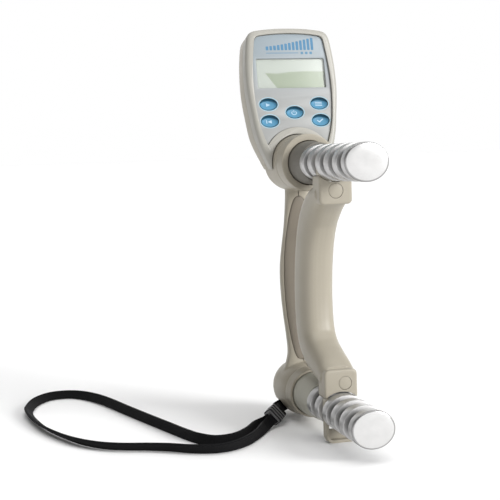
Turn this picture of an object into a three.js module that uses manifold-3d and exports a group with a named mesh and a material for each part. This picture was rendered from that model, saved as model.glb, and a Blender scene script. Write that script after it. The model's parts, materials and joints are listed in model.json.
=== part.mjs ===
// Digital hand dynamometer: a display head and a fixed handle on two grooved posts,
// with a hooked-on adjustable handle and a wrist strap. Millimetres, +Z up, front faces -Y.
// Everything is laid out from the upper post's axis (y = 0, z = 0) and the whole group is
// then shifted so that the origin lies on the floor under the middle of the object.
import * as THREE from 'three';
import { mergeVertices } from 'three/addons/utils/BufferGeometryUtils.js';
import Module from 'manifold-3d';

const wasm = await Module();
wasm.setup();

// ---------------------------------------------------------------- driving dimensions
const GAP = 0.3; // clearance between pieces that touch
const POST_SPACING = 127; // upper post axis to lower post axis
const FLOOR_Z = -143.5; // the surface the object stands on, below the upper post axis
const CENTRE_Y = -41.06; // middle of the object from front to back
const GRIP_PITCH = 12.7; // one grip position to the next
const GRIP_POSITIONS = 5;
const GRIP_IN_USE = 2; // the groove that holds the adjustable handle, counted from the head
const POST_HALF_HEIGHT = 9.4;
const POST_HALF_WIDTH = 11.1;
const POST_CORE = 5.8; // groove bottom, half height
const FIRST_LAND_Y = -42.1; // back rim of the land nearest the head
const LAND = 6.4; // land length, so a groove is GRIP_PITCH - LAND wide
const POST_END = 6; // length of the plain end land
const POST_BASE_Y = -4.3;
const MOUTH_R = 12; // bore in the boss that each post comes out of
const UPPER_BOSS_R = 15.7;
const SLEEVE = { rootR: 11.6, tipR: 10.6, taperFrom: -27, tip: -41.6 }; // rubber sleeve over each post
const LOWER_BOSS_R = 15.1;
const BOSS_FRONT_Y = -14;
const LOWER_BOSS_FRONT_Y = -12;
const HEAD_TILT = THREE.MathUtils.degToRad(11.6); // the display leans back
const FACE_Y = -7.35; // faceplate surface at the upper post axis
const RIM = 1.1; // the bezel stands this proud of the faceplate
const DRAFT = 0.0015; // the covers narrow by this share of their width for each mm of depth
const FRONT_COVER_BACK = -8; // head-local depth of the cover joint
const HEAD_BACK = -23; // head-local depth of the rear cover
const WALL = 2.2;
const HANDLE_HALF_WIDTH = 9.5;
const FORK_HALF_WIDTH = 8.8;
const FORK_PLATE = 5.1; // thickness of the fork and clip in their grooves
const KEY = { halfWidth: 4.9, halfHeight: 3.2, top: -0.1, bottom: -3.2 };
const KEY_PLACES = {
  key_test: [-14.8, 33.4],
  key_mode: [14.8, 33.4],
  key_power: [0, 28.6],
  key_reset: [-14.8, 23.8],
  key_enter: [14.8, 23.8],
};
const PAD = { top: -18.8, length: 91.6, halfWidth: 7.2 }; // the leaf in the fixed handle's front
const SCREEN = { halfWidth: 19.9, bottom: 42.6, top: 59.5 };
const STRAP = { width: 5.8, thickness: 1.6, spacing: 2.4 };
const STRAP_EXIT = { x: -7.4, y: 6.4, z: -136.8 }; // where the strap leaves the lower boss

const GROOVE_Y = Array.from({ length: GRIP_POSITIONS }, (_, i) =>
  FIRST_LAND_Y - LAND - (GRIP_PITCH - LAND) / 2 - i * GRIP_PITCH);
const POST_TIP_Y = FIRST_LAND_Y - GRIP_POSITIONS * GRIP_PITCH - POST_END;
const HOOK_Y = GROOVE_Y[GRIP_IN_USE - 1]; // the adjustable handle's plane

// ---------------------------------------------------------------- materials
const FINISH = {
  shell: { color: 0xb7b1a3, roughness: 0.45, metalness: 0 },
  shell_light: { color: 0xcdc9bd, roughness: 0.45, metalness: 0 },
  label: { color: 0xa9bcc6, roughness: 0.5, metalness: 0 },
  key: { color: 0x4a93bf, roughness: 0.5, metalness: 0 },
  screen: { color: 0xb9c3b4, roughness: 0.25, metalness: 0 },
  lens: { color: 0xdfe6e2, roughness: 0.1, metalness: 0 },
  steel: { color: 0xc9c7c4, roughness: 0.3, metalness: 1 },
  alloy: { color: 0xb9b9bb, roughness: 0.4, metalness: 1 },
  sleeve: { color: 0x77766f, roughness: 0.55, metalness: 0 },
  board: { color: 0x2f6b45, roughness: 0.6, metalness: 0 },
  chip: { color: 0x1d1d1f, roughness: 0.5, metalness: 0 },
  cell: { color: 0x8a8f96, roughness: 0.4, metalness: 0.6 },
  webbing: { color: 0x17171a, roughness: 0.85, metalness: 0 },
  foil: { color: 0xc98f3d, roughness: 0.5, metalness: 0.2 },
};

// ---------------------------------------------------------------- geometry helpers
// A closed triangle mesh with shared corners, no slivers and faces pointing out.
function closed(geometry) {
  const bare = geometry.clone();
  bare.deleteAttribute('normal');
  bare.deleteAttribute('uv');
  const merged = mergeVertices(bare, 1e-4);
  const { array } = merged.attributes.position;
  const index = Array.from(merged.index.array);
  const kept = [];
  let volume = 0;
  for (let i = 0; i < index.length; i += 3) {
    const [a, b, c] = index.slice(i, i + 3);
    if (a === b || b === c || c === a) continue;
    kept.push(a, b, c);
    const [p, q, r] = [a, b, c].map((k) => new THREE.Vector3().fromArray(array, 3 * k));
    volume += p.dot(q.cross(r));
  }
  if (volume < 0) {
    for (let i = 0; i < kept.length; i += 3) [kept[i], kept[i + 1]] = [kept[i + 1], kept[i]];
  }
  merged.setIndex(kept);
  return merged;
}

function solid(geometry) {
  const mesh = closed(geometry);
  return new wasm.Manifold(new wasm.Mesh({
    numProp: 3,
    vertProperties: new Float32Array(mesh.attributes.position.array),
    triVerts: new Uint32Array(mesh.index.array),
  }));
}

function geometryOf(manifold) {
  const mesh = manifold.getMesh();
  const geometry = new THREE.BufferGeometry();
  geometry.setAttribute('position', new THREE.BufferAttribute(mesh.vertProperties, 3));
  geometry.setIndex(new THREE.BufferAttribute(mesh.triVerts, 1));
  return geometry;
}

const join = (...geometries) => geometryOf(geometries.map(solid).reduce((a, b) => a.add(b)));
const cut = (geometry, ...tools) =>
  geometryOf(tools.map(solid).reduce((a, b) => a.subtract(b), solid(geometry)));
const common = (a, b) => geometryOf(solid(a).intersect(solid(b)));

const box = (x0, x1, y0, y1, z0, z1) =>
  new THREE.BoxGeometry(x1 - x0, y1 - y0, z1 - z0)
    .translate((x0 + x1) / 2, (y0 + y1) / 2, (z0 + z1) / 2);

// A turned piece about a line along Y; the profile is a closed list of [radius, y].
const turned = (profile, segments = 24) =>
  new THREE.LatheGeometry([...profile, profile[0]].map(([r, y]) => new THREE.Vector2(r, y)), segments);

const rod = (radius, y0, y1, segments = 24) =>
  turned([[0, y0], [radius, y0], [radius, y1], [0, y1]], segments);

// A flat shape in XY pushed along +Z from z0 to z1, with an optional rounded rim.
function slab(shape, z0, z1, bevel = 0, steps = 3, curveSegments = 8) {
  return new THREE.ExtrudeGeometry(shape, {
    depth: z1 - z0 - 2 * bevel,
    bevelEnabled: bevel > 0,
    bevelThickness: bevel,
    bevelSize: bevel,
    bevelOffset: -bevel,
    bevelSegments: steps,
    curveSegments,
  }).translate(0, 0, z0 + bevel);
}

// The same slab standing up: its shape is drawn in XZ and it runs from y0 to y1.
const upright = (shape, y0, y1, bevel = 0, steps = 3) =>
  slab(shape, -y1, -y0, bevel, steps).rotateX(Math.PI / 2);

// A shape that is the same on both sides of x = 0, from the path of its right half.
function mirrored(draw, divisions = 8) {
  const half = new THREE.Path();
  draw(half);
  const right = half.getPoints(divisions)
    .filter((p, i, all) => i === 0 || p.distanceTo(all[i - 1]) > 0.01);
  const left = right.slice(1, -1).reverse().map((p) => new THREE.Vector2(-p.x, p.y));
  return new THREE.Shape([...right, ...left]);
}

const oval = (halfWidth, halfHeight) => {
  const shape = new THREE.Shape();
  shape.absellipse(0, 0, halfWidth, halfHeight, 0, 2 * Math.PI, false, 0);
  return shape;
};

function roundedBox(halfWidth, bottom, top, radius) {
  const shape = new THREE.Shape();
  shape.moveTo(-halfWidth + radius, bottom);
  shape.lineTo(halfWidth - radius, bottom);
  shape.absarc(halfWidth - radius, bottom + radius, radius, -Math.PI / 2, 0);
  shape.absarc(halfWidth - radius, top - radius, radius, 0, Math.PI / 2);
  shape.absarc(-halfWidth + radius, top - radius, radius, Math.PI / 2, Math.PI);
  shape.absarc(-halfWidth + radius, bottom + radius, radius, Math.PI, 1.5 * Math.PI);
  return shape;
}

// A skin over rings of points, closed at both ends with flat fans.
function loft(rings) {
  const n = rings[0].length;
  const points = rings.flat();
  const index = [];
  for (let i = 0; i < rings.length - 1; i++) {
    for (let j = 0; j < n; j++) {
      const [a, b] = [i * n + j, i * n + ((j + 1) % n)];
      index.push(a, b, a + n, b, b + n, a + n);
    }
  }
  for (const [ring, start] of [[rings[0], 0], [rings.at(-1), (rings.length - 1) * n]]) {
    const middle = ring.reduce((sum, p) => sum.add(p), new THREE.Vector3()).divideScalar(n);
    points.push(middle);
    for (let j = 0; j < n; j++) {
      const edge = [start + j, start + ((j + 1) % n)];
      index.push(points.length - 1, ...(start ? edge : edge.reverse()));
    }
  }
  const geometry = new THREE.BufferGeometry().setFromPoints(points);
  geometry.setIndex(index);
  return geometry;
}

// A block with the given outline in XY whose two rims are rounded by different amounts.
function pillow(shape, z0, z1, round0, round1, steps = 4) {
  const outline = shape.getPoints();
  const bounds = new THREE.Box2().setFromPoints(outline);
  const [centre, size] = [bounds.getCenter(new THREE.Vector2()), bounds.getSize(new THREE.Vector2())];
  const ring = (inset, z) => outline.map((p) => new THREE.Vector3(
    centre.x + (p.x - centre.x) * (1 - (2 * inset) / size.x),
    centre.y + (p.y - centre.y) * (1 - (2 * inset) / size.y), z));
  const turns = Array.from({ length: steps + 1 }, (_, i) => (Math.PI / 2) * (i / steps));
  return loft([
    ...turns.map((a) => ring(round0 * (1 - Math.sin(a)), z0 + round0 * (1 - Math.cos(a)))),
    ...turns.reverse().map((a) => ring(round1 * (1 - Math.sin(a)), z1 - round1 * (1 - Math.cos(a)))),
  ]);
}

// ---------------------------------------------------------------- scene graph helpers
const dynamometer = new THREE.Group();
dynamometer.position.set(0, -CENTRE_Y, -FLOOR_Z);

const head = new THREE.Group();
const HEAD_TURN = Math.PI / 2 - HEAD_TILT;
head.position.set(0, FACE_Y, 0);
head.rotation.x = HEAD_TURN;
dynamometer.add(head);

function add(parent, name, finish, geometry) {
  const mesh = new THREE.Mesh(closed(geometry), new THREE.MeshStandardMaterial(FINISH[finish]));
  mesh.name = name;
  parent.add(mesh);
  return mesh;
}

// Geometry laid out in the object's frame, as seen from inside the leaning head group.
const toHead = (geometry) => geometry.translate(0, -FACE_Y, 0).rotateX(-HEAD_TURN);

// ---------------------------------------------------------------- display head
const headOutline = mirrored((p) => {
  p.moveTo(0, -15.9);
  p.absarc(0, 0, 15.9, -Math.PI / 2, THREE.MathUtils.degToRad(-27));
  p.bezierCurveTo(19.2, 2.6, 22.8, 12, 24, 22);
  p.bezierCurveTo(25.2, 32, 26.3, 38, 26.3, 46);
  p.bezierCurveTo(26.3, 56, 25.6, 62, 24.7, 68);
  p.bezierCurveTo(24, 73.6, 22.4, 75.4, 18, 75.9);
  p.bezierCurveTo(12, 76.8, 6, 77.1, 0, 77.1);
}, 4);

const faceOutline = (grow) => mirrored((p) => {
  const r = 20 - grow;
  const notch = THREE.MathUtils.degToRad(31);
  p.moveTo(0, r + 0.2);
  p.absarc(0, 0.2, r, Math.PI / 2, notch, true);
  p.lineTo(17.143 + 1.4 * grow, 10.501 - 0.4 * grow);
  p.bezierCurveTo(19 + grow, 15, 20.7 + grow, 21, 21.4 + grow, 26);
  p.bezierCurveTo(22.3 + grow, 34, 22.6 + grow, 40, 22.3 + grow, 48);
  p.bezierCurveTo(22 + grow, 56, 21 + grow, 63, 20.2 + grow, 68.4);
  p.bezierCurveTo(19.8 + grow, 71.2 + grow, 18.8 + grow, 72 + grow, 17, 72.3 + grow);
  p.bezierCurveTo(12, 73.2 + grow, 6, 73.6 + grow, 0, 73.6 + grow);
}, 4);

const headBore = () =>
  toHead(join(rod(UPPER_BOSS_R + 0.4, -60, 60, 32), box(-40, 40, -60, 60, -60, -3.5)));

// The covers lean with the display above, but run level around the boss below, and the
// outside narrows a little towards the back.
function followBoss(geometry, draft = 0) {
  const { position } = geometry.attributes;
  for (let i = 0; i < position.count; i++) {
    const [x, y, z] = [position.getX(i), position.getY(i), position.getZ(i)];
    const share = 1 - THREE.MathUtils.smoothstep(y, 0, 25);
    position.setXY(i, x * (1 + draft * z), y - share * z * Math.tan(HEAD_TILT));
  }
  return geometry;
}

const screwPlaces = [[-18.6, 67.5], [18.6, 67.5], [-19.6, 20.5], [19.6, 20.5]];
const insideOutline = mirrored((p) => {
  p.moveTo(0, -13);
  p.absarc(0, 0, 13.5, -Math.PI / 2, THREE.MathUtils.degToRad(-27));
  p.bezierCurveTo(17, 4, 20.6, 13, 21.8, 22);
  p.bezierCurveTo(23, 32, 24, 38, 24, 46);
  p.bezierCurveTo(24, 56, 23.4, 62, 22.5, 67);
  p.bezierCurveTo(22, 72, 21, 73, 17, 73.5);
  p.bezierCurveTo(11, 74.4, 6, 74.7, 0, 74.7);
}, 3);
const pillar = (x, y, radius, z0, z1) => rod(radius, z0, z1, 10).rotateX(Math.PI / 2).translate(x, y, 0);

function keyHoles(clearance, z0, z1) {
  return Object.values(KEY_PLACES).map(([x, y]) =>
    slab(oval(KEY.halfWidth + clearance, KEY.halfHeight + clearance), z0, z1, 0, 1, 4).translate(x, y, 0));
}

function screenHole(clearance, z0, z1) {
  return slab(roundedBox(SCREEN.halfWidth + clearance, SCREEN.bottom - clearance,
    SCREEN.top + clearance, 1), z0, z1, 0, 1, 3);
}

function addCovers() {
  const frontBlock = common(followBoss(pillow(headOutline, -12, RIM, 1, 2.4, 3), DRAFT),
    box(-40, 40, -40, 90, FRONT_COVER_BACK, RIM + 1));
  const frontShell = cut(frontBlock, followBoss(slab(insideOutline, -20, -2.4)),
    slab(faceOutline(GAP), -0.9, 5));
  const frontPillars = screwPlaces.map(([x, y]) => pillar(x, y, 3, FRONT_COVER_BACK, -2));
  add(head, 'head_front_cover', 'shell_light', cut(join(frontShell, ...frontPillars), headBore(),
    screenHole(0.6, -5, 3), ...keyHoles(0.8, -5, 3),
    ...screwPlaces.map(([x, y]) => pillar(x, y, 1.6, -12, -4))));

  const rearTop = FRONT_COVER_BACK - GAP;
  const rearBlock = common(followBoss(pillow(headOutline, HEAD_BACK, 2, 6, 1, 3), DRAFT),
    box(-40, 40, -40, 90, HEAD_BACK - 1, rearTop));
  const rearShell = cut(rearBlock, followBoss(slab(insideOutline, HEAD_BACK + WALL + 0.4, 0)));
  const rearPillars = screwPlaces.map(([x, y]) => pillar(x, y, 3, HEAD_BACK + 2, rearTop));
  add(head, 'head_rear_cover', 'shell', cut(common(join(rearShell, ...rearPillars), rearBlock), headBore(),
    slab(roundedBox(18.3, 31.7, 57.3, 2), HEAD_BACK - 3, -10, 0, 1, 4),
    ...screwPlaces.map(([x, y]) => pillar(x, y, 1.6, HEAD_BACK - 2, 0)),
    ...screwPlaces.map(([x, y]) => pillar(x, y, 2.9, HEAD_BACK - 2, HEAD_BACK + 5))));
}

function addFace() {
  add(head, 'faceplate', 'label', cut(slab(faceOutline(0), -0.6, 0), screenHole(0, -3, 3),
    ...keyHoles(0.35, -3, 3)));
  add(head, 'display_window', 'lens', screenHole(-0.15, -1, -0.1));
  const reach = SCREEN.halfWidth + 0.2;
  add(head, 'display_panel', 'screen', box(-reach, reach, SCREEN.bottom - 0.2, SCREEN.top + 0.2, -4.4, -1.3));
  for (const [name, [x, y]] of Object.entries(KEY_PLACES)) {
    const cap = slab(oval(KEY.halfWidth, KEY.halfHeight), KEY.bottom, KEY.top, 0.9, 2, 4);
    add(head, name, 'key', cap).position.set(x, y, 0);
    add(head, name.replace('key', 'switch'), 'chip', box(x - 1.6, x + 1.6, y - 1.6, y + 1.6, -6.3, -4.5));
  }
}

function addElectronics() {
  const board = slab(roundedBox(20.6, 21.5, 66, 2), -8.2, -6.6, 0, 1, 3);
  add(head, 'main_circuit_board', 'board', cut(board,
    ...screwPlaces.map(([x, y]) => pillar(x, y, 3.6, -20, 0))));
  add(head, 'controller_chip', 'chip', box(-5, 5, 60, 65, -9.9, -8.5));
  for (const [name, y] of [['battery_cell_upper', 50.2], ['battery_cell_lower', 38.8]]) {
    add(head, name, 'cell', rod(5.2, -22, 22, 24).rotateZ(Math.PI / 2).translate(0, y, -15.2));
  }
  for (const [name, x] of [['battery_contact_left', -22.9], ['battery_contact_right', 22.9]]) {
    add(head, name, 'steel', box(x - 0.6, x + 0.6, 40, 53, -18, -12));
  }
  add(head, 'battery_door', 'shell', slab(roundedBox(18, 32, 57, 1.8), HEAD_BACK, -20.9, 0.6, 2, 4));
  screwPlaces.forEach(([x, y], i) => {
    const screw = turned([[0, -5], [1.3, -5], [1.3, -18.2], [2.5, -18.2], [2.5, -20.2], [0, -20.2]], 10);
    add(head, `cover_screw_${i + 1}`, 'steel', screw.rotateX(Math.PI / 2).translate(x, y, 0));
  });
}

// ---------------------------------------------------------------- fixed handle
// The handle bows back between the posts: its front, back and half width at each height.
const GRIP_STATIONS = [
  { z: -8, front: -4, back: 6.2, half: 6.6 },
  { z: -17, front: -3.8, back: 6, half: 6.6 },
  { z: -26, front: -3.2, back: 5.8, half: 7.1 },
  { z: -36, front: -1.9, back: 6.6, half: 7.8 },
  { z: -46, front: 0.2, back: 8.8, half: 8.6 },
  { z: -56, front: 1.6, back: 10.8, half: 9.4 },
  { z: -65, front: 2, back: 11.4, half: 9.6 },
  { z: -76, front: 1.6, back: 10.4, half: 9.4 },
  { z: -87, front: 0.2, back: 8.4, half: 8.9 },
  { z: -98, front: -2.2, back: 6.9, half: 8.2 },
  { z: -107, front: -3.6, back: 6.3, half: 8 },
  { z: -113.5, front: -4, back: 6.6, half: 9.6 },
  { z: -119, front: -4, back: 6.8, half: 12 },
];

// A cross-section with a nearly flat front and a round back.
function gripSection({ z, front, back, half }, inset = 0) {
  const [hw, y0, y1] = [half - inset, front + inset, back - inset];
  const middle = y0 + (y1 - y0) * 0.3;
  const ring = [];
  const steps = 16;
  for (let i = 0; i < steps; i++) {
    const a = (2 * Math.PI * i) / steps;
    const power = Math.sin(a) < 0 ? 0.42 : 0.85;
    const c = Math.sign(Math.cos(a)) * Math.abs(Math.cos(a)) ** (Math.sin(a) < 0 ? 0.5 : 0.8);
    const s = Math.abs(Math.sin(a)) ** power;
    const y = Math.sin(a) < 0 ? middle - (middle - y0) * s : middle + (y1 - middle) * s;
    ring.push(new THREE.Vector3(hw * c, y, z));
  }
  return ring;
}

// The pad let into the front of the handle: a long leaf that follows the bow.
const padHalf = (z) => {
  const along = THREE.MathUtils.clamp((PAD.top - z) / PAD.length, 0, 1);
  return PAD.halfWidth * Math.sin(Math.PI * along) ** (0.41 - 0.13 * along) + 0.6;
};
const frontAt = (z) => {
  const i = Math.max(0, GRIP_STATIONS.findIndex((s) => s.z <= z) - 1);
  const [a, b] = [GRIP_STATIONS[i], GRIP_STATIONS[i + 1]];
  const t = (z - a.z) / (b.z - a.z);
  return THREE.MathUtils.lerp(a.front, b.front, THREE.MathUtils.smoothstep(t, -0.5, 1.5));
};

function padSolid(grow, depth, crown) {
  const rings = [];
  const count = 20;
  for (let i = 0; i <= count; i++) {
    const share = (1 - Math.cos((Math.PI * i) / count)) / 2;
    const z = PAD.top + grow - (PAD.length + 2 * grow) * share;
    const half = Math.max(1, padHalf(z)) + grow;
    const y = frontAt(z);
    const lift = crown * Math.min(1, half / 6);
    rings.push([
      new THREE.Vector3(-half, y + depth, z),
      new THREE.Vector3(-half, y + 0.3, z),
      new THREE.Vector3(-half * 0.72, y - lift * 0.75, z),
      new THREE.Vector3(0, y - lift, z),
      new THREE.Vector3(half * 0.72, y - lift * 0.75, z),
      new THREE.Vector3(half, y + 0.3, z),
      new THREE.Vector3(half, y + depth, z),
    ]);
  }
  return loft(rings);
}

const lower = (geometry) => geometry.translate(0, 0, -POST_SPACING);

const upperBoss = () => turned([
  [0, BOSS_FRONT_Y], [UPPER_BOSS_R - 0.2, BOSS_FRONT_Y], [UPPER_BOSS_R - 0.2, 8],
  [14.6, 11], [11.5, 13.4], [0, 14],
], 32);
const lowerBoss = () => lower(turned([
  [0, LOWER_BOSS_FRONT_Y], [14, LOWER_BOSS_FRONT_Y], [14.8, -8], [LOWER_BOSS_R, -4],
  [LOWER_BOSS_R, 6], [14.2, 11], [11.4, 15.4], [6.5, 17.6], [0, 18],
], 32));
const shellScrews = [[11, 5], [11, -5], [13, -POST_SPACING + 5.5], [13, -POST_SPACING - 5.5]];
const across = (geometry, y, z) => geometry.rotateZ(-Math.PI / 2).translate(0, y, z);

function beamSolid(grow) {
  const rings = GRIP_STATIONS.map(({ z, front, back }) => {
    const y = front + (back - front) * 0.58;
    const [w, t] = [3.2 + grow, 1.3 + grow];
    return [[-w, -t], [w, -t], [w, t], [-w, t]].map(([x, d]) => new THREE.Vector3(x, y + d, z));
  });
  const eye = (z) => rod(9 + grow, -2.6 - grow, 3 + grow, 28).translate(0, 0, z);
  return join(loft(rings), eye(0), eye(-POST_SPACING));
}

// A foil gauge bonded to the back of the beam, square to the beam where it bends.
function gaugeSolid(z, grow) {
  const i = GRIP_STATIONS.findIndex((s) => s.z <= z);
  const [a, b] = [GRIP_STATIONS[i - 1], GRIP_STATIONS[i]];
  const [ya, yb] = [a, b].map(({ front, back }) => front + (back - front) * 0.58);
  const slope = (yb - ya) / (b.z - a.z);
  const y = ya + slope * (z - a.z) + 1.3 * Math.sqrt(1 + slope ** 2) + 0.45;
  return box(-2 - grow, 2 + grow, -0.12 - grow, 0.12 + grow, -3 - grow, 3 + grow)
    .rotateX(-Math.atan(slope)).translate(0, y, z);
}
const GAUGES = { strain_gauge_upper: -41, strain_gauge_lower: -92.5 };

function addFixedHandle() {
  const tongue = box(-7, 7, 6, 10, 10, 22);
  const body = join(upperBoss(), lowerBoss(), loft(GRIP_STATIONS.map((s) => gripSection(s))), tongue);
  const hollow = join(beamSolid(0.5), ...Object.values(GAUGES).map((z) => gaugeSolid(z, 0.4)),
    rod(MOUTH_R, -40, 7, 28), lower(rod(MOUTH_R, -40, 8, 28)));
  const strapSlot = box(-30, -4.6, -3.4, 10.4, STRAP_EXIT.z - 3.7, STRAP_EXIT.z + 3.4);
  const whole = cut(body, hollow, padSolid(GAP, 2.2, 3), strapSlot,
    box(-40, 40, -60, 60, FLOOR_Z - 20, FLOOR_Z));
  const screwHoles = shellScrews.map(([y, z]) =>
    across(turned([[0, -20], [1.5, -20], [1.5, 5], [2.7, 5], [2.7, 20], [0, 20]], 10), y, z));
  for (const [name, side] of [['handle_shell_left', -1], ['handle_shell_right', 1]]) {
    const half = side < 0 ? box(-40, -0.2, -60, 60, -160, 60) : box(0.2, 40, -60, 60, -160, 60);
    add(dynamometer, name, 'shell', cut(common(whole, half), ...screwHoles));
  }
  add(dynamometer, 'handle_front_pad', 'shell', padSolid(0, 1.8, 0.6));
  shellScrews.forEach(([y, z], i) => {
    const screw = turned([[0, -6], [1.2, -6], [1.2, 5.4], [2.4, 5.4], [2.4, 7.2], [0, 7.2]], 10);
    add(dynamometer, `handle_screw_${i + 1}`, 'steel', across(screw, y, z));
  });
}

function addLoadCell() {
  add(dynamometer, 'load_cell_beam', 'alloy', cut(beamSolid(0), rod(2.6, -20, 20, 16),
    lower(rod(2.6, -20, 20, 16))));
  for (const [name, z] of Object.entries(GAUGES)) add(dynamometer, name, 'foil', gaugeSolid(z, 0));
}

// ---------------------------------------------------------------- posts
function postProfile() {
  const profile = [[0, POST_BASE_Y], [7.6, POST_BASE_Y], [7.6, FIRST_LAND_Y + 0.01]];
  for (let i = 0; i <= GRIP_POSITIONS; i++) {
    const back = FIRST_LAND_Y - i * GRIP_PITCH;
    const front = i < GRIP_POSITIONS ? back - LAND : POST_TIP_Y;
    profile.push([POST_HALF_HEIGHT - 0.7, back], [POST_HALF_HEIGHT, back - 0.7]);
    if (i < GRIP_POSITIONS) {
      profile.push([POST_HALF_HEIGHT, front], [POST_CORE, front], [POST_CORE, back - GRIP_PITCH]);
    } else {
      profile.push([POST_HALF_HEIGHT, front + 0.6], [POST_HALF_HEIGHT - 0.6, front]);
    }
  }
  profile.push([0, POST_TIP_Y]);
  return profile;
}

function addPosts() {
  const wide = POST_HALF_WIDTH / POST_HALF_HEIGHT;
  for (const [side, place] of [['upper', (g) => g], ['lower', lower]]) {
    const post = cut(turned(postProfile(), 24), rod(2.1, -14, 0, 12)).scale(wide, 1, 1);
    add(dynamometer, `${side}_post`, 'steel', place(post));
    const bolt = turned([[0, 6.6], [4, 6.6], [4, 3.4], [1.8, 3.4], [1.8, -12], [0, -12]], 12);
    add(dynamometer, `${side}_post_bolt`, 'alloy', place(bolt));
    const front = side === 'upper' ? BOSS_FRONT_Y : LOWER_BOSS_FRONT_Y;
    const sleeve = turned([
      [9.3, front + 2], [SLEEVE.rootR, front + 2], [SLEEVE.rootR, SLEEVE.taperFrom],
      [SLEEVE.tipR, SLEEVE.tip], [9.3, SLEEVE.tip],
    ], 28);
    add(dynamometer, `${side}_post_sleeve`, 'sleeve', place(sleeve));
  }
  add(dynamometer, 'upper_collar', 'shell', turned([
    [MOUTH_R, BOSS_FRONT_Y - GAP], [15.5, BOSS_FRONT_Y - GAP], [15.5, -24.3], [15, -25], [MOUTH_R, -25],
  ], 32));
  add(dynamometer, 'lower_collar', 'shell', lower(turned([
    [MOUTH_R, LOWER_BOSS_FRONT_Y - GAP], [13.9, LOWER_BOSS_FRONT_Y - GAP], [13.5, -15.6],
    [13.3, -20], [13, -20.3], [MOUTH_R, -20.3],
  ], 32)));
}

// ---------------------------------------------------------------- adjustable handle
// The centre line from the upper block down to the lower one, with the half thickness.
const BOW = [
  [-61, -15.8, 5.6], [-52.8, -18.2, 8], [-45.3, -22.2, 9.7], [-38.1, -28.1, 10.8], [-32.3, -36.7, 11.4],
  [-28.4, -47, 11.7], [-25.8, -59, 12], [-24.7, -71, 12], [-25, -81, 12.1], [-26.4, -89.5, 12],
  [-30.1, -96.4, 11.3], [-36.9, -101.6, 10.2], [-46, -105.2, 9], [-54, -108, 8], [-61, -110.6, 6.4],
];

function bowSolid() {
  const centres = new THREE.CatmullRomCurve3(BOW.map(([y, z]) => new THREE.Vector3(0, y, z)));
  const count = 20;
  const rings = [];
  for (let i = 0; i <= count; i++) {
    const t = i / count;
    const centre = centres.getPoint(t);
    const along = centres.getTangent(t);
    const normal = new THREE.Vector3(0, along.z, -along.y);
    const k = t * (BOW.length - 1);
    const j = Math.min(BOW.length - 2, Math.floor(k));
    const half = THREE.MathUtils.lerp(BOW[j][2], BOW[j + 1][2], k - j);
    const ring = [];
    for (let n = 0; n < 16; n++) {
      const a = (2 * Math.PI * n) / 16;
      const x = HANDLE_HALF_WIDTH * Math.sign(Math.cos(a)) * Math.abs(Math.cos(a)) ** 0.9;
      const d = half * Math.sign(Math.sin(a)) * Math.abs(Math.sin(a)) ** 0.9;
      ring.push(new THREE.Vector3(x, 0, 0).add(centre).addScaledVector(normal, d));
    }
    rings.push(ring);
  }
  return loft(rings);
}

// The space that a post's sleeve takes, seen from the handle in the position nearest the head.
const sleeveRoom = () => {
  const step = (GRIP_IN_USE - 1) * GRIP_PITCH;
  return turned([
    [0, SLEEVE.tip - step - GAP], [SLEEVE.tipR + GAP, SLEEVE.tip - step - GAP],
    [SLEEVE.rootR + GAP, SLEEVE.taperFrom - step], [SLEEVE.rootR + GAP, -20], [0, -20],
  ], 32);
};

const BLOCK = { front: HOOK_Y - 2.3, back: HOOK_Y + 9 };
const UPPER_BLOCK = { bottom: -21.3, top: -5.5 };
const LOWER_BLOCK = { bottom: -POST_SPACING + 5.5, top: -105.8 };
const PINS = {
  upper: { x: 0, z: -14.3, radius: 3.8 },
  lower: { x: 2.2, z: -112.8, radius: 3.4 },
};

// The oval tunnel that a post's lands slide through, so each block sits astride its post.
const landRoom = (clearance) => rod(1, -95, -30, 36)
  .scale(POST_HALF_WIDTH + clearance, 1, POST_HALF_HEIGHT + clearance);

function addAdjustableHandle() {
  const handle = new THREE.Group();
  handle.name = 'adjustable';
  dynamometer.add(handle);
  const block = ({ bottom, top }) =>
    upright(roundedBox(FORK_HALF_WIDTH, bottom, top, 2), BLOCK.front, BLOCK.back, 0.8, 2);
  const keepOut = [
    box(-20, 20, -90, 0, UPPER_BLOCK.top, 20), box(-20, 20, -90, 0, -160, LOWER_BLOCK.bottom),
    landRoom(0.5), lower(landRoom(0.5)), sleeveRoom(), lower(sleeveRoom()),
    ...Object.values(PINS).map(({ x, z, radius }) =>
      rod(radius + GAP, BLOCK.front - 5, BLOCK.front + 4, 20).translate(x, 0, z)),
  ];
  add(handle, 'adjustable_handle', 'shell',
    cut(join(bowSolid(), block(UPPER_BLOCK), block(LOWER_BLOCK)), ...keepOut));
  for (const [side, { x, z, radius }] of Object.entries(PINS)) {
    add(handle, `${side}_hook_pin`, 'shell',
      rod(radius, BLOCK.front - 0.1, BLOCK.front + 3.6, 20).translate(x, 0, z));
  }
  addHooks(handle);
}

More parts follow.
